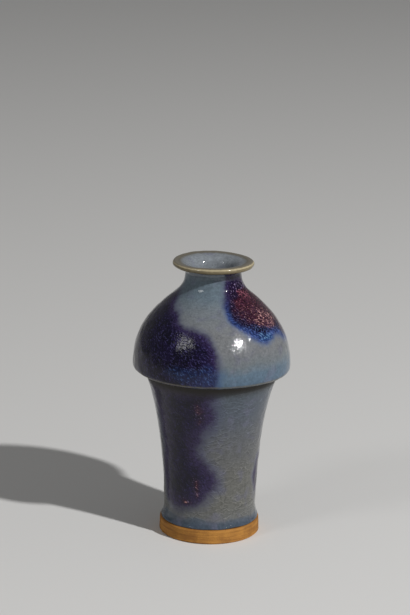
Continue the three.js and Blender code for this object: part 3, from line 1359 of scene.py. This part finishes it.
@dataclass(frozen=True)
class SplashedGlaze:
    """Thick grey-blue glaze with purple splashes, thin and tan over sharp edges.

    Attributes:
        name: The material's name.
        ground: Its ground.
        layers: What lies over the ground, in order.
        cracks: The cracks over those.
        crazing: The crazing over all.
        relief: Its relief.
        roughness: How blurred its shine is; bubbles, cracks and creases blur it more.
        refraction: How strongly it bends light.
    """

    name: str = "splashed_glaze"
    ground: Ground = Ground()
    layers: tuple[Union[Splashing, Flush, ThinEdges], ...] = (Splashing(), Flush(), ThinEdges())
    cracks: Cracks = Cracks()
    crazing: Crazing = Crazing()
    relief: Relief = Relief()
    roughness: float = 0.075
    bubble_blur: float = 0.08
    crack_blur: float = 0.1
    crease_blur: float = 0.5
    refraction: float = 1.40

    def material(self) -> bpy.types.Material:
        """Makes the glaze's material.

        Returns:
            The material.
        """
        graph = GlazeGraph(self.name)
        colour = self.ground.colour(graph)
        for layer in self.layers:
            colour = layer.over(graph, colour)
        cracks = self.cracks.lines(graph)
        colour = graph.mix(colour, colour * self.cracks.tone, cracks * self.cracks.share)
        rough = self.roughness + graph.bubbles.sway(self.bubble_blur) + cracks * self.crack_blur
        return graph.finish(
            Base_Color=self.crazing.over(graph, colour),
            Roughness=rough + graph.value("crease_pool_and_shade") * self.crease_blur,
            IOR=self.refraction,
            Normal=self.relief.normal(graph),
        )


@dataclass(frozen=True)
class PlainGlaze:
    """Pale grey-blue glaze of the inside, with soft mottling.

    Attributes:
        name: The material's name.
        tones: Its two colours, in the broad clouds of drift.
        bubbles: Fine mottling, which adds bubble_share to the least brightness.
        peel: The clouds of its broad relief.
        roughness: How blurred its shine is; the bubbles blur it more.
        refraction: How strongly it bends light.
    """

    name: str = "lining_glaze"
    tones: Pair = (paint(146, 153, 161), paint(120, 126, 132))
    drift: Cloud = Cloud(18.0, 3.0)
    bubbles: Cloud = Cloud(1.2, 2.0, 0.6)
    bubble_depth: float = 0.03
    least: float = 0.86
    bubble_share: float = 0.28
    peel: Cloud = Cloud(6.0)
    peel_depth: float = 0.12
    roughness: float = 0.2
    bubble_blur: float = 0.1
    refraction: float = 1.5

    def material(self) -> bpy.types.Material:
        """Makes the lining's material.

        Returns:
            The material.
        """
        graph = Graph(self.name)
        place = graph.place()
        bubbles = graph.noise(place, self.bubbles)
        colour = graph.mix(*self.tones, graph.noise(place, self.drift))
        peel = graph.bump(graph.noise(place, self.peel), self.peel_depth)
        return graph.finish(
            Base_Color=colour * (self.least + bubbles * self.bubble_share),
            Roughness=self.roughness + bubbles * self.bubble_blur,
            IOR=self.refraction,
            Normal=graph.bump(bubbles, self.bubble_depth, peel),
        )


@dataclass(frozen=True)
class BareClay:
    """Fired clay, toasted orange where the flame reached it, with fine grain and turning marks.

    Attributes:
        name: The material's name.
        light: The colour of its high spots.
        dark: The colour of its hollows.
        toast: The colour near the glaze, by toast_share.
        toast_band: The heights where the toasted colour begins and is full, shifted by toast_reach.
        rings: The turning marks, read where ring_stretch draws the place out round the axis.
        cloud: Broad clouds between its light and its dark.
        grain: Its grain.
        shade_band: The mix of the three, by their shares, where the dark ends and the light is full.
        grog: How far apart its dark specks are.
        grog_width: How far from its middle a speck ends and is full, in those distances.
        grog_tone: How bright the clay is in a speck.
        roughness: How blurred its shine is; the grain blurs it more.
        refraction: How strongly it bends light.
    """

    name: str
    light: Colour
    dark: Colour
    toast: Colour
    toast_band: Band = (9.4, 11.2)
    toast_reach: float = 2.0
    toast_share: float = 0.7
    ring_stretch: tuple[float, float, float] = (0.06, 0.06, 1.0)
    rings: Cloud = Cloud(1.3, 1.0)
    ring_share: float = 0.35
    ring_depth: float = 0.02
    cloud: Cloud = Cloud(9.0, 4.0)
    cloud_share: float = 0.4
    grain: Cloud = Cloud(0.7, 3.0, 0.7)
    grain_share: float = 0.25
    grain_depth: float = 0.08
    shade_band: Band = (0.38, 0.62)
    grog: float = 2.2
    grog_width: Band = (0.16, 0.08)
    grog_tone: float = 0.72
    roughness: float = 0.68
    grain_blur: float = 0.2
    refraction: float = 1.45

    def material(self) -> bpy.types.Material:
        """Makes the clay's material.

        Returns:
            The material.
        """
        graph = Graph(self.name)
        place = graph.place()
        rings = graph.noise(place * self.ring_stretch, self.rings)
        cloud = graph.noise(place, self.cloud)
        grain = graph.noise(place, self.grain)
        shade = cloud * self.cloud_share + grain * self.grain_share + rings * self.ring_share
        colour = graph.mix(self.dark, self.light, graph.smooth(shade, *self.shade_band))
        height = graph.axis(place, "Z") + cloud.sway(self.toast_reach)
        colour = graph.mix(colour, self.toast, graph.smooth(height, *self.toast_band) * self.toast_share)
        grog = graph.smooth(graph.cells(place, self.grog, Distance.TO_MIDDLE), *self.grog_width)
        return graph.finish(
            Base_Color=graph.mix(colour, colour * self.grog_tone, grog),
            Roughness=self.roughness + grain * self.grain_blur,
            IOR=self.refraction,
            Normal=graph.bump(grain, self.grain_depth, graph.bump(rings, self.ring_depth)),
        )


@dataclass
class GlazeCoat:
    """A coat of splashed glaze over one or more clay pieces.

    Attributes:
        name: The piece's name.
        nodes: The coat's nodes, in the order in which their open faces follow on.
        clay: The clay nodes under the coat.
        splashes: The splashes on it.
        step: About how far apart its rows are in the air.
        columns: How many steps go round.
        sheet_radius: The radius that the unrolled coat is taken at.
        start_line_and_shade: How far a dark band is full and then fades from the coat's start: on the trunk
            a thin dark line along the lower glaze edge, on the cap brown thin glaze with painted shade
            under the rim.
        end_line_and_shade: The same from its end, which on the trunk is painted shade under the cap's rim.
        edge_round: How far from its ends the coat is rounded, in round_points.
        round_share: The most of an end face that the round takes.
        throwing: The unevenness of the thrown wall, wobble high.
        ripples: The finer unevenness of the glaze, ripple high.
        swell: How far the glaze swells over a splash, between the depths of swell_band.
        calm_end: How far from the ends the relief is full.
        slant: How far the splashes ran round the vase for each millimetre along it.
        stray: How far the splashes' edges waver, round the vase and along it.
        cobalt_band: The depths where a splash's cobalt begins and is full.
    """

    name: str
    nodes: tuple[str, ...]
    clay: tuple[str, ...]
    splashes: tuple[Splash, ...]
    step: float
    columns: int
    sheet_radius: float
    start_line_and_shade: Band
    end_line_and_shade: Band
    edge_round: float = 0.8
    round_points: int = 6
    round_share: float = 0.8
    throwing: Waves = Waves(11, 70.0)
    wobble: float = 0.16
    ripples: Waves = Waves(12, 9.0)
    ripple: float = 0.05
    swell: float = 0.16
    swell_band: Band = (-2.0, 5.0)
    calm_end: float = 4.0
    slant: float = 0.6
    stray: float = 1.0
    stray_round: Waves = Waves(21, 22.0)
    stray_along: Waves = Waves(22, 22.0)
    cobalt_band: Band = (-8.0, -6.0)

    def make(self, finish: bpy.types.Material) -> None:
        """Builds and dresses the coat.

        Args:
            finish: The glaze's material.
        """
        skin = self.skin()
        self.work(skin)
        settle(skin.build(), finish, "glaze", *self.nodes)

    def skin(self) -> Turned:
        """Works out the coat's half-section, open face first.

        Returns:
            The coat's skin, not yet worked.
        """
        clay = [Section.of(node) for node in self.clay]
        parts = [Section.of(node).split(clay) for node in self.nodes]
        face = self._thinned(np.concatenate([part[0] for part in parts]))
        back = self._thinned(np.concatenate([part[1] for part in reversed(parts)]))
        fine = flowing(face, self.step)
        start = self._rounded_end(fine[::-1], back[-1])[::-1]
        end = self._rounded_end(fine, back[0])
        run = along(fine)
        kept = fine[(run > self.edge_round) & (run < run[-1] - self.edge_round)]
        behind = flowing(back, BACK_STEP)
        rows = np.concatenate([start, kept, end, behind])
        open_rows = np.arange(len(rows)) < len(start) + len(kept) + len(end)
        return Turned(self.name, rows, open_rows, self.columns)

    def _rounded_end(self, path: np.ndarray, clay_corner: np.ndarray) -> np.ndarray:
        """Rounds the end of the open face towards the clay.

        Args:
            path: The open face, ending where it is rounded.
            clay_corner: The back's corner at that end.

        Returns:
            The round, from the face to the clay.
        """
        run = along(path)
        at = run[-1] - self.edge_round
        before = np.array([np.interp(at, run, path[:, k]) for k in range(2)])
        drop = clay_corner - path[-1]
        share = min(self.round_share, self.edge_round / float(np.linalg.norm(drop)))
        return eased_corner(before, path[-1], path[-1] + drop * share, self.round_points)

    @staticmethod
    def _thinned(points: np.ndarray) -> np.ndarray:
        """Leaves out points that all but touch the one before them."""
        gaps = np.linalg.norm(np.diff(points, axis=0), axis=1)
        return points[np.concatenate([[True], gaps > CONTACT_LIMIT])]

    def work(self, skin: Turned) -> None:
        """Gives the skin its splashes, its relief and the values that its finish reads.

        Args:
            skin: The coat's skin.
        """
        places = skin.flat()
        run = skin.run
        length = float(run[skin.open_rows][-1])
        self._lay_sheet(skin)
        self._lay_splashes(skin, places)
        # Dark bands at the coat's ends and under the lip. On the trunk's lower edge a thin dark line; under
        # the cap's rim and under the lip painted shade, mixed with some brown pooled glaze.
        near_start = 1 - smoothstep(*self.start_line_and_shade, run)
        near_end = 1 - smoothstep(*self.end_line_and_shade, np.abs(length - run))
        crease_pool_and_shade = np.maximum(np.maximum(near_start, near_end), self.shadiness(skin)) * skin.open_rows
        by_row = {"crease_pool_and_shade": crease_pool_and_shade, "thin": self.thinness(skin), "inside": self.insideness(skin)}
        for name, values in by_row.items():
            skin.shares[name] = np.repeat(values, skin.columns)
        fade = smoothstep(0.0, self.calm_end, np.minimum(run, length - run)) * skin.open_rows
        relief = self.throwing.at(places) * self.wobble
        relief += self.ripples.at(places) * self.ripple
        relief += smoothstep(*self.swell_band, skin.shares["splash"]) * self.swell
        skin.lift = skin.gridded(relief) * fade[:, None]

    def thinness(self, skin: Turned) -> np.ndarray:
        """How thin the glaze lies at each row, 0 where it is thick."""
        return np.zeros(len(skin.rows))

    def insideness(self, skin: Turned) -> np.ndarray:
        """Whether each row lies inside the mouth, from 0 to 1."""
        return np.zeros(len(skin.rows))

    def shadiness(self, skin: Turned) -> np.ndarray:
        """How much painted shade each row has away from the coat's ends, from 0 to 1."""
        return np.zeros(len(skin.rows))

    def _lay_sheet(self, skin: Turned) -> None:
        """Stores each place on the unrolled coat, upright and slanted along the run of the glaze.

        Args:
            skin: The coat's skin.
        """
        turn = np.broadcast_to(skin.azimuths, (len(skin.rows), skin.columns))
        run = np.broadcast_to(skin.run[:, None], turn.shape)
        radius = skin.rows[:, :1]
        for name, slant in (("sheet", 0.0), ("flow", self.slant)):
            angle = turn + run * slant / self.sheet_radius
            around = [radius * np.sin(angle), -radius * np.cos(angle), run]
            skin.shares[name] = np.stack(around, 2).reshape(-1, 3)

    def _lay_splashes(self, skin: Turned, places: np.ndarray) -> None:
        """Stores how deep each place lies in a splash, and which fringe, red and teal it has there.

        Args:
            skin: The coat's skin.
            places: Its places.
        """
        turns = np.tile(np.degrees(skin.azimuths), len(skin.rows))
        runs = np.repeat(skin.run, skin.columns)
        turns += np.degrees(self.stray_round.at(places) * self.stray / self.sheet_radius)
        runs += self.stray_along.at(places) * self.stray

        def deepest(pools: Sequence[Pool]) -> np.ndarray:
            """How deep each place lies in any of the pools."""
            depths = [np.full(len(places), FAR_OUTSIDE)]
            for pool in pools:
                depths.append(pool.depth(turns, runs, skin.unrolled(pool.outline), self.sheet_radius))
            return np.max(depths, axis=0)

        skin.shares["splash"] = deepest([splash.pool for splash in self.splashes])
        rimmed = deepest([splash.pool for splash in self.splashes if splash.fringe is Fringe.COBALT])
        skin.shares["cobalt"] = smoothstep(*self.cobalt_band, rimmed)
        skin.shares["flush"] = deepest([pool for splash in self.splashes for pool in splash.flushes])
        skin.shares["ember"] = deepest([pool for splash in self.splashes for pool in splash.embers])
        skin.shares["teal"] = deepest([pool for splash in self.splashes for pool in splash.teals])


@dataclass
class TrunkCoat(GlazeCoat):
    """The trunk's coat, which stops in a welt above the bare foot.

    Attributes:
        edge_waver: How far the lower edge wavers up and down.
        edge_waves: How it wavers.
        edge_drop: How far the lower edge hangs down.
        drop_band: The runs from the lower edge where the hanging begins and is full.
        edge_roll: How far the lower edge is rolled out.
        roll_middle: How far from the lower edge the roll is highest.
        roll_width: How wide the roll is.
    """

    edge_waver: float = 0.2
    edge_waves: Waves = Waves(41, 26.0)
    edge_drop: float = 0.85
    drop_band: Band = (6.0, 0.0)
    edge_roll: float = 0.45
    roll_middle: float = 1.0
    roll_width: float = 1.2

    def work(self, skin: Turned) -> None:
        """Adds a wavering, rolled lower edge to the coat's relief.

        Args:
            skin: The coat's skin.
        """
        super().work(skin)
        ring = np.stack([np.sin(skin.azimuths), np.cos(skin.azimuths)], 1) * self.sheet_radius
        waver = self.edge_waves.at(ring) * self.edge_waver
        low = smoothstep(*self.drop_band, skin.run) * skin.open_rows
        skin.sink = low[:, None] * (self.edge_drop + waver[None])
        roll = bell(self.roll_middle, self.roll_width, skin.run) * skin.open_rows
        skin.lift += roll[:, None] * self.edge_roll


@dataclass
class ShoulderCoat(GlazeCoat):
    """The coat of cap, neck and mouth, which thins to tan over the lip and the cap's lower edge.

    Attributes:
        lip_height: How far below the top the lip's outermost point is looked for.
        lip_out: How far down outside from that point the glaze is thin and then thick.
        lip_in: The same on the inside.
        inside_ease: How far in from that point the inside is full.
        under_lip_shade: How far down the painted shade in the hollow under the lip lies, and how wide it
            is.
        under_lip_shade_share: How dark that painted shade is.
        worn_highlight: How far in from the outermost point the lip's pale crest lies, and how widely; it is
            partly glaze rubbed thin and partly a painted highlight.
        worn_highlight_share: How much thinner the glaze is taken to be there, which paints it paler.
        edge_below: How far below the cap's widest point its lower edge lies.
        edge_width: How wide the thin glaze on that edge is.
        edge_share: How thin it is there.
    """

    lip_height: float = 3.0
    lip_out: Band = (1.0, 3.2)
    lip_in: Band = (2.0, 11.5)
    inside_ease: float = 2.5
    # Painted shade in the hollow under the lip.
    under_lip_shade: tuple[float, float] = (6.0, 3.4)
    under_lip_shade_share: float = 0.6
    worn_highlight: tuple[float, float] = (1.6, 0.75)
    worn_highlight_share: float = 0.45
    edge_below: float = 3.2
    edge_width: float = 1.1
    edge_share: float = 0.48

    def _past_crest(self, skin: Turned) -> np.ndarray:
        """How far along each row lies past the lip's outermost point."""
        lip = skin.open_rows & (skin.rows[:, 1] > skin.rows[:, 1].max() - self.lip_height)
        crest = int(np.flatnonzero(lip)[np.argmax(skin.rows[lip, 0])])
        return skin.run - skin.run[crest]

    def thinness(self, skin: Turned) -> np.ndarray:
        """How thin the glaze lies at each row.

        Args:
            skin: The coat's skin.

        Returns:
            1 on the lip and more on its pale crest, a partly painted highlight, less along the cap's lower
            edge, 0 elsewhere.
        """
        past = self._past_crest(skin)
        lip = np.where(past < 0, 1 - smoothstep(*self.lip_out, -past), 1 - smoothstep(*self.lip_in, past))
        # The pale crest: partly glaze rubbed thin, partly a painted highlight.
        lip += bell(*self.worn_highlight, past) * self.worn_highlight_share
        widest = int(np.argmax(skin.rows[:, 0]))
        edge = bell(skin.run[widest] - self.edge_below, self.edge_width, skin.run) * self.edge_share
        return np.maximum(lip, edge) * skin.open_rows

    def insideness(self, skin: Turned) -> np.ndarray:
        """Whether each row lies inside the mouth, eased over the lip."""
        return smoothstep(0.0, self.inside_ease, self._past_crest(skin))

    def shadiness(self, skin: Turned) -> np.ndarray:
        """The painted shade in the hollow under the lip."""
        return bell(*self.under_lip_shade, -self._past_crest(skin)) * self.under_lip_shade_share


@dataclass(frozen=True)
class Lining:
    """A plain coat inside the vase.

    Attributes:
        name: The piece's name.
        node: The node that it stands for.
        step: About how far apart its rows are.
        columns: How many steps go round.
    """

    name: str
    node: str
    step: float = 1.4
    columns: int = 180

    def make(self, finish: bpy.types.Material) -> None:
        """Builds and dresses the lining."""
        skin = turned_from(self.name, self.node, self.step, self.columns)
        settle(skin.build(), finish, "lining", self.node)


def turned_from(name: str, node: str, step: float, columns: int) -> Turned:
    """Takes a node's own half-section as a skin, curved between its corners.

    Args:
        name: The piece's name.
        node: The node that it follows.
        step: About how far apart its rows are.
        columns: How many steps go round.

    Returns:
        The skin, not yet worked.
    """
    section = Section.of(node)
    points = section.points
    if section.closed:
        loop = np.concatenate([points[-1:], points, points[:1]])
        start = int(np.argmax(bends(loop)))
        points = np.roll(points, -start, axis=0)
        rows = flowing(np.concatenate([points, points[:1]]), step)[:-1]
        return Turned(name, rows, np.ones(len(rows), bool), columns)
    rows = flowing(points, step)
    poles = (float(rows[0, 1]), float(rows[-1, 1]))
    rows = rows[rows[:, 0] > step * AXIS_SHARE]
    return Turned(name, rows, np.ones(len(rows), bool), columns, poles)


@dataclass(frozen=True)
class Base:
    """The bare foot ring and the floor let into it, both marked by turning.

    Attributes:
        foot_step: About how far apart the foot's rows are.
        foot_columns: How many steps go round it.
        floor_step: About how far apart the floor's rows are.
        floor_columns: How many steps go round it.
        marks: The turning marks on the foot, groove deep, which climb mark_climb in a turn.
        outer_band: How far normals point outwards where the marks begin and are full.
        low_band: The heights where they begin and are full above the ground.
        high_band: The heights where they begin and are full below the glaze.
        spiral: How deep the spiral on the floor is; its turns are spiral_pitch apart.
        under_band: How far normals point up where the spiral begins and is full.
        rim_band: The radii where it begins and is full at the floor's edge.
        eye_band: The radii where it begins and is full round the floor's middle.
    """

    foot_step: float = 0.4
    foot_columns: int = 280
    floor_step: float = 0.7
    floor_columns: int = 220
    marks: Waves = Waves(61, 1.9)
    groove: float = 0.04
    mark_climb: float = 1.6
    outer_band: Band = (0.5, 0.9)
    low_band: Band = (0.0, 1.2)
    high_band: Band = (10.8, 9.6)
    spiral: float = 0.12
    spiral_pitch: float = 4.2
    under_band: Band = (-0.5, -0.9)
    rim_band: Band = (27.5, 25.0)
    eye_band: Band = (0.0, 3.0)

    def make(self, finish: bpy.types.Material, under: bpy.types.Material) -> None:
        """Builds and dresses both pieces.

        Args:
            finish: The foot's material.
            under: The floor's material.
        """
        settle(self._foot().build(), finish, "stoneware", "foot_ring")
        settle(self._floor().build(), under, "stoneware", "floor_disc")

    def _foot(self) -> Turned:
        """The foot ring, with turning marks on its outer face.

        Returns:
            The ring's skin.
        """
        skin = turned_from("foot_band", "foot_ring", self.foot_step, self.foot_columns)
        heights = skin.rows[:, 1]
        outer = smoothstep(*self.outer_band, skin.normals[:, 0])
        middle = smoothstep(*self.low_band, heights) * smoothstep(*self.high_band, heights)
        climb = heights[:, None] + self.mark_climb * skin.azimuths[None] / (2 * np.pi)
        marks = self.marks.at(climb.reshape(-1, 1))
        skin.lift = skin.gridded(marks) * (outer * middle)[:, None] * self.groove
        return skin

    def _floor(self) -> Turned:
        """The floor, with a turning spiral on its underside.

        Returns:
            The floor's skin.
        """
        skin = turned_from("floor_plate", "floor_disc", self.floor_step, self.floor_columns)
        radii = skin.rows[:, 0]
        below = smoothstep(*self.under_band, skin.normals[:, 1]) * smoothstep(*self.rim_band, radii)
        turns = radii[:, None] / self.spiral_pitch - skin.azimuths[None] / (2 * np.pi)
        inner = smoothstep(*self.eye_band, radii)
        skin.lift = self.spiral * np.sin(2 * np.pi * turns) * (below * inner)[:, None]
        return skin


class LampShape(Enum):
    """The shape of a lamp's bright face, by Blender's names."""

    ROUND = "DISK"
    SQUARE = "SQUARE"


@dataclass(frozen=True)
class Lamp:
    """A studio lamp.

    Attributes:
        name: The lamp's name.
        way: The way to it.
        distance: How far off it hangs, in metres.
        width: How wide its bright face is, in metres.
        level: How bright it makes what it lights.
        shape: The shape of its bright face.
    """

    name: str
    way: tuple[float, float, float]
    distance: float
    width: float
    level: float
    shape: LampShape = LampShape.ROUND

    def hang(self, aim: Vector) -> None:
        """Hangs the lamp so that it faces aim.

        Args:
            aim: The point that it lights, in metres.
        """
        light = bpy.data.lights.new(self.name, "AREA")
        light.shape = self.shape.value
        light.size = self.width
        light.energy = self.level * math.pi**2 * self.distance**2
        lamp = bpy.data.objects.new(self.name, light)
        lamp.location = aim + Vector(self.way).normalized() * self.distance
        lamp.rotation_euler = (aim - lamp.location).to_track_quat("-Z", "Y").to_euler()
        bpy.context.scene.collection.objects.link(lamp)


@dataclass
class Studio:
    """The plain pale floor, the soft lamps and the camera at the photograph's viewing angle.

    Attributes:
        eye: Where the camera stands.
        aim: What it looks at.
        roll: How far it is tilted sideways, in degrees.
        lens: How long its lens is.
        sensor: How wide its picture is behind the lens.
        floor_half: Half the width of the floor, in metres.
        floor_colour: The floor's colour.
        floor_roughness: How dull the floor is.
        sky: How bright the even light from all round is.
        sky_colour: The colour of that light.
        lamps: The lamps.
    """

    eye: tuple[float, float, float] = (0.0, -1554.7, 579.4)
    aim: tuple[float, float, float] = (-5.385, 0.0, 165.252)
    roll: float = 0.896
    lens: float = 132.8
    sensor: float = 36.0
    floor_half: float = 6.0
    floor_colour: Colour = paint(222, 221, 219)
    floor_roughness: float = 0.9
    sky: float = 0.16
    sky_colour: Colour = paint(255, 255, 255)
    lamps: tuple[Lamp, ...] = (
        Lamp("key_lamp", way=(0.61, -0.50, 0.61), distance=4.0, width=0.165, level=0.88),
        Lamp(
            "fill_lamp",
            way=(-0.62, -0.52, 0.60),
            distance=4.0,
            width=0.90,
            level=0.10,
            shape=LampShape.SQUARE,
        ),
    )

    def set_up(self) -> None:
        """Lays the floor, hangs the lamps and sets the camera."""
        self._lay_floor()
        middle = (CAD_BOUNDS[0] + CAD_BOUNDS[1]) / 2
        for lamp in self.lamps:
            lamp.hang(middle)
        self._light_world()
        self._set_camera()
        bpy.context.scene.view_settings.view_transform = "Standard"

    def _lay_floor(self) -> None:
        """Lays a plain pale floor under the vase."""
        half = self.floor_half
        mesh = bpy.data.meshes.new("studio_floor")
        corners = [(-half, -half, 0), (half, -half, 0), (half, half, 0), (-half, half, 0)]
        mesh.from_pydata(corners, [], [(0, 1, 2, 3)])
        graph = Graph("studio_floor")
        mesh.materials.append(graph.finish(Base_Color=self.floor_colour, Roughness=self.floor_roughness))
        floor = bpy.data.objects.new("studio_floor", mesh)
        bpy.context.scene.collection.objects.link(floor)

    def _light_world(self) -> None:
        """Surrounds the vase with even white light."""
        world = bpy.data.worlds.new("studio")
        world.use_nodes = True
        sockets = world.node_tree.nodes["Background"].inputs
        sockets["Color"].default_value = self.sky_colour
        sockets["Strength"].default_value = self.sky
        bpy.context.scene.world = world

    def _set_camera(self) -> None:
        """Sets the camera where the photograph was taken from."""
        data = bpy.data.cameras.new("camera")
        data.lens = self.lens
        data.sensor_width = self.sensor
        camera = bpy.data.objects.new("camera", data)
        eye = Vector(self.eye) * MM
        look = (Vector(self.aim) * MM - eye).to_track_quat("-Z", "Y")
        tilt = Quaternion((0, 0, 1), math.radians(self.roll))
        camera.location = eye
        camera.rotation_euler = (look @ tilt).to_euler()
        bpy.context.scene.collection.objects.link(camera)
        bpy.context.scene.camera = camera


@dataclass
class Vase:
    """The whole vase: its coats, its base and the clay under them.

    Attributes:
        foot_clay: The finish of the bare foot.
        floor_clay: The finish of the floor and of the clay that the coats hide.
        trunk_splashes: The splashes on the trunk.
        shoulder_splashes: The splashes on the cap, the neck and the mouth.
    """

    foot_clay: BareClay = BareClay(
        name="foot_clay",
        light=paint(178, 124, 52),
        dark=paint(140, 92, 36),
        toast=paint(132, 80, 28),
    )
    floor_clay: BareClay = BareClay(
        name="floor_clay",
        light=paint(204, 166, 114),
        dark=paint(168, 124, 76),
        toast=paint(168, 124, 76),
    )

    trunk_splashes: tuple[Splash, ...] = (
        Splash(
            Fringe.VIOLET,
            Pool(
                (
                    (5, 123), (5, 115), (5, 110), (5, 103), (4, 96), (1, 90), (-4, 83),
                    (-10, 76), (-15, 69), (-12, 63), (-3, 58.5), (5.5, 53), (10, 47), (9, 42),
                    (6, 38), (1, 34), (-9, 30), (-20, 25.5), (-32, 22.5), (-45, 20.5),
                    (-57, 22), (-68, 30), (-74, 44), (-70, 60),
                    (-66, 76), (-69, 92), (-76, 108), (-80, 123),
                ),
                softness=2.0,
            ),
            flushes=(
                Pool(
                    (
                        (-17, 107), (-13, 110), (-9.5, 108), (-8, 101), (-9, 92), (-12, 88), (-15, 91),
                        (-17, 99),
                    ),
                ),
                Pool(((-21, 45), (-16, 46.5), (-11, 44), (-10.5, 38), (-14, 33), (-20, 34.5))),
                Pool(((-36, 31), (-30, 33), (-24, 32), (-23, 28.5), (-28, 26), (-34, 26.5))),
            ),
            embers=(
                Pool(((-19, 43), (-13.5, 44), (-12.5, 37), (-17.5, 35.5))),
                Pool(((-34, 30), (-28, 31.5), (-25, 29.5), (-28, 27.5), (-32, 28))),
            ),
        ),
        Splash(
            Fringe.VIOLET,
            Pool(
                (
                    (66, 43), (68, 51), (73, 57), (80, 61), (88, 65), (92, 60), (95, 52), (98, 44),
                    (95, 36), (88, 29), (80, 27), (72, 31), (67, 36),
                ),
            ),
        ),
        Splash(
            Fringe.COBALT,
            Pool(
                (
                    (150, 123), (151, 114), (156, 106), (158, 98), (156, 89), (158, 80), (164, 72),
                    (168, 64), (172, 60), (177, 62), (180, 70), (181, 80), (185, 88), (187, 98),
                    (184, 107), (186, 115), (187, 123),
                ),
                softness=1.2,
            ),
            flushes=(
                Pool(((164, 108), (171, 110), (175, 102), (174, 92), (171, 82), (167, 86), (164, 97))),
            ),
            embers=(Pool(((167, 104), (171, 105), (171, 96), (168, 95))),),
        ),
    )
    shoulder_splashes: tuple[Splash, ...] = (
        Splash(
            Fringe.COBALT,
            Pool(
                (
                    (24, 197), (22.5, 187), (19.5, 181), (16, 177), (14.5, 173), (15.5, 170), (17, 167),
                    (20, 164), (26, 160.5), (32, 157.5), (37, 154), (40, 151), (46, 148), (52, 148),
                    (56, 150.5), (60, 153), (64, 153), (69, 151), (75, 147.5), (81, 144.5), (88, 141),
                    (99, 137), (110, 140), (117, 148), (126, 151), (131, 160), (124, 168), (121, 177),
                    (110, 181), (98, 189), (84, 197),
                ),
            ),
            flushes=(
                Pool(
                    (
                        (24, 177), (29, 184), (37, 188), (50, 190), (62, 190), (76, 190), (94, 185),
                        (110, 176), (117, 164), (110, 153), (96, 149), (82, 151.5), (72, 155),
                        (62, 157), (54, 157.5), (46, 160.5), (35, 163), (27, 166.5), (21.5, 171),
                    ),
                ),
            ),
            embers=(
                Pool(((46, 160), (50, 165.5), (60, 168), (72, 166), (78, 160), (68, 156), (55, 157))),
                Pool(((44, 180), (55, 182), (66, 180), (73, 177), (64, 175.5), (53, 177.5))),
            ),
            teals=(
                Pool(
                    (
                        (40, 153), (42, 149.5), (47, 147.5), (54, 148.5), (60, 151), (60, 153),
                        (52, 153.5), (45, 154.5),
                    ),
                ),
            ),
        ),
        Splash(
            Fringe.VIOLET,
            Pool(
                (
                    (-76, 181), (-66, 177), (-55, 173), (-47, 170), (-40, 167.5), (-36.5, 164.5),
                    (-32, 163), (-24, 162), (-16, 160.5), (-9, 158), (-4, 155), (0, 152), (3.5, 148),
                    (5.5, 143), (6.5, 138), (5.5, 131), (3.5, 126), (2.5, 119), (-40, 116), (-90, 116),
                    (-116, 119), (-125, 126), (-120, 135), (-124, 143), (-119, 152), (-109, 157),
                    (-105, 165), (-97, 168), (-92, 176), (-84, 178),
                ),
                softness=1.15,
            ),
            teals=(Pool(((-36, 135), (-22, 136), (-8, 137), (10, 136), (11, 124), (-8, 125), (-36, 128))),),
        ),
        Splash(
            Fringe.COBALT,
            Pool(
                (
                    (143, 161), (151, 167), (160, 166), (166, 160), (174, 156), (178, 147), (175, 138),
                    (167, 135), (163, 128), (154, 127), (150, 134), (143, 139), (140, 150),
                ),
            ),
            flushes=(
                Pool(((148, 156), (156, 159), (163, 154), (168, 148), (163, 141), (154, 137), (147, 146))),
            ),
            embers=(Pool(((152, 152), (158, 153), (159, 145), (153, 144))),),
        ),
    )

    def make(self) -> None:
        """Builds and dresses the vase, from the outside in."""
        glaze = SplashedGlaze().material()
        lining = PlainGlaze().material()
        under = self.floor_clay.material()
        self._coats(glaze)
        Lining("cap_inner_coat", "cap_lining").make(lining)
        Lining("trunk_inner_coat", "trunk_lining").make(lining)
        Base().make(self.foot_clay.material(), under)
        self._dress_clay(under)

    def _coats(self, glaze: bpy.types.Material) -> None:
        """Builds the two glaze coats.

        Args:
            glaze: Their material.
        """
        TrunkCoat(
            name="trunk_coat",
            nodes=("trunk_glaze",),
            clay=("trunk_wall",),
            splashes=self.trunk_splashes,
            step=0.7,
            columns=400,
            sheet_radius=37.0,
            # A thin dark line along the trunk's lower glaze edge; under the cap's rim the dark band is
            # painted shade.
            start_line_and_shade=(0.1, 1.0),
            end_line_and_shade=(3.5, 13.0),
        ).make(glaze)
        ShoulderCoat(
            name="shoulder_coat",
            nodes=("shoulder_glaze", "rim_glaze", "mouth_lining"),
            clay=("shoulder_cap", "neck_and_mouth"),
            splashes=self.shoulder_splashes,
            step=0.8,
            columns=400,
            sheet_radius=46.0,
            # Brown thin glaze and painted shade on the underside of the cap's rim.
            start_line_and_shade=(2.4, 5.2),
            end_line_and_shade=(-1.0, 0.0),
        ).make(glaze)

    @staticmethod
    def _dress_clay(clay: bpy.types.Material) -> None:
        """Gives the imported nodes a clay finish, for the walls and slip beds that no piece stands for.

        Args:
            clay: The clay's material.
        """
        for node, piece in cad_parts.items():
            piece.data.materials.clear()
            piece.data.materials.append(clay)
            LOG.info("%s is dressed as clay", node)


def main() -> None:
    """Builds the vase and its studio."""
    logging.basicConfig(level=logging.INFO, format="%(name)s: %(message)s")
    Vase().make()
    Studio().set_up()


if __name__ == "__main__":
    main()
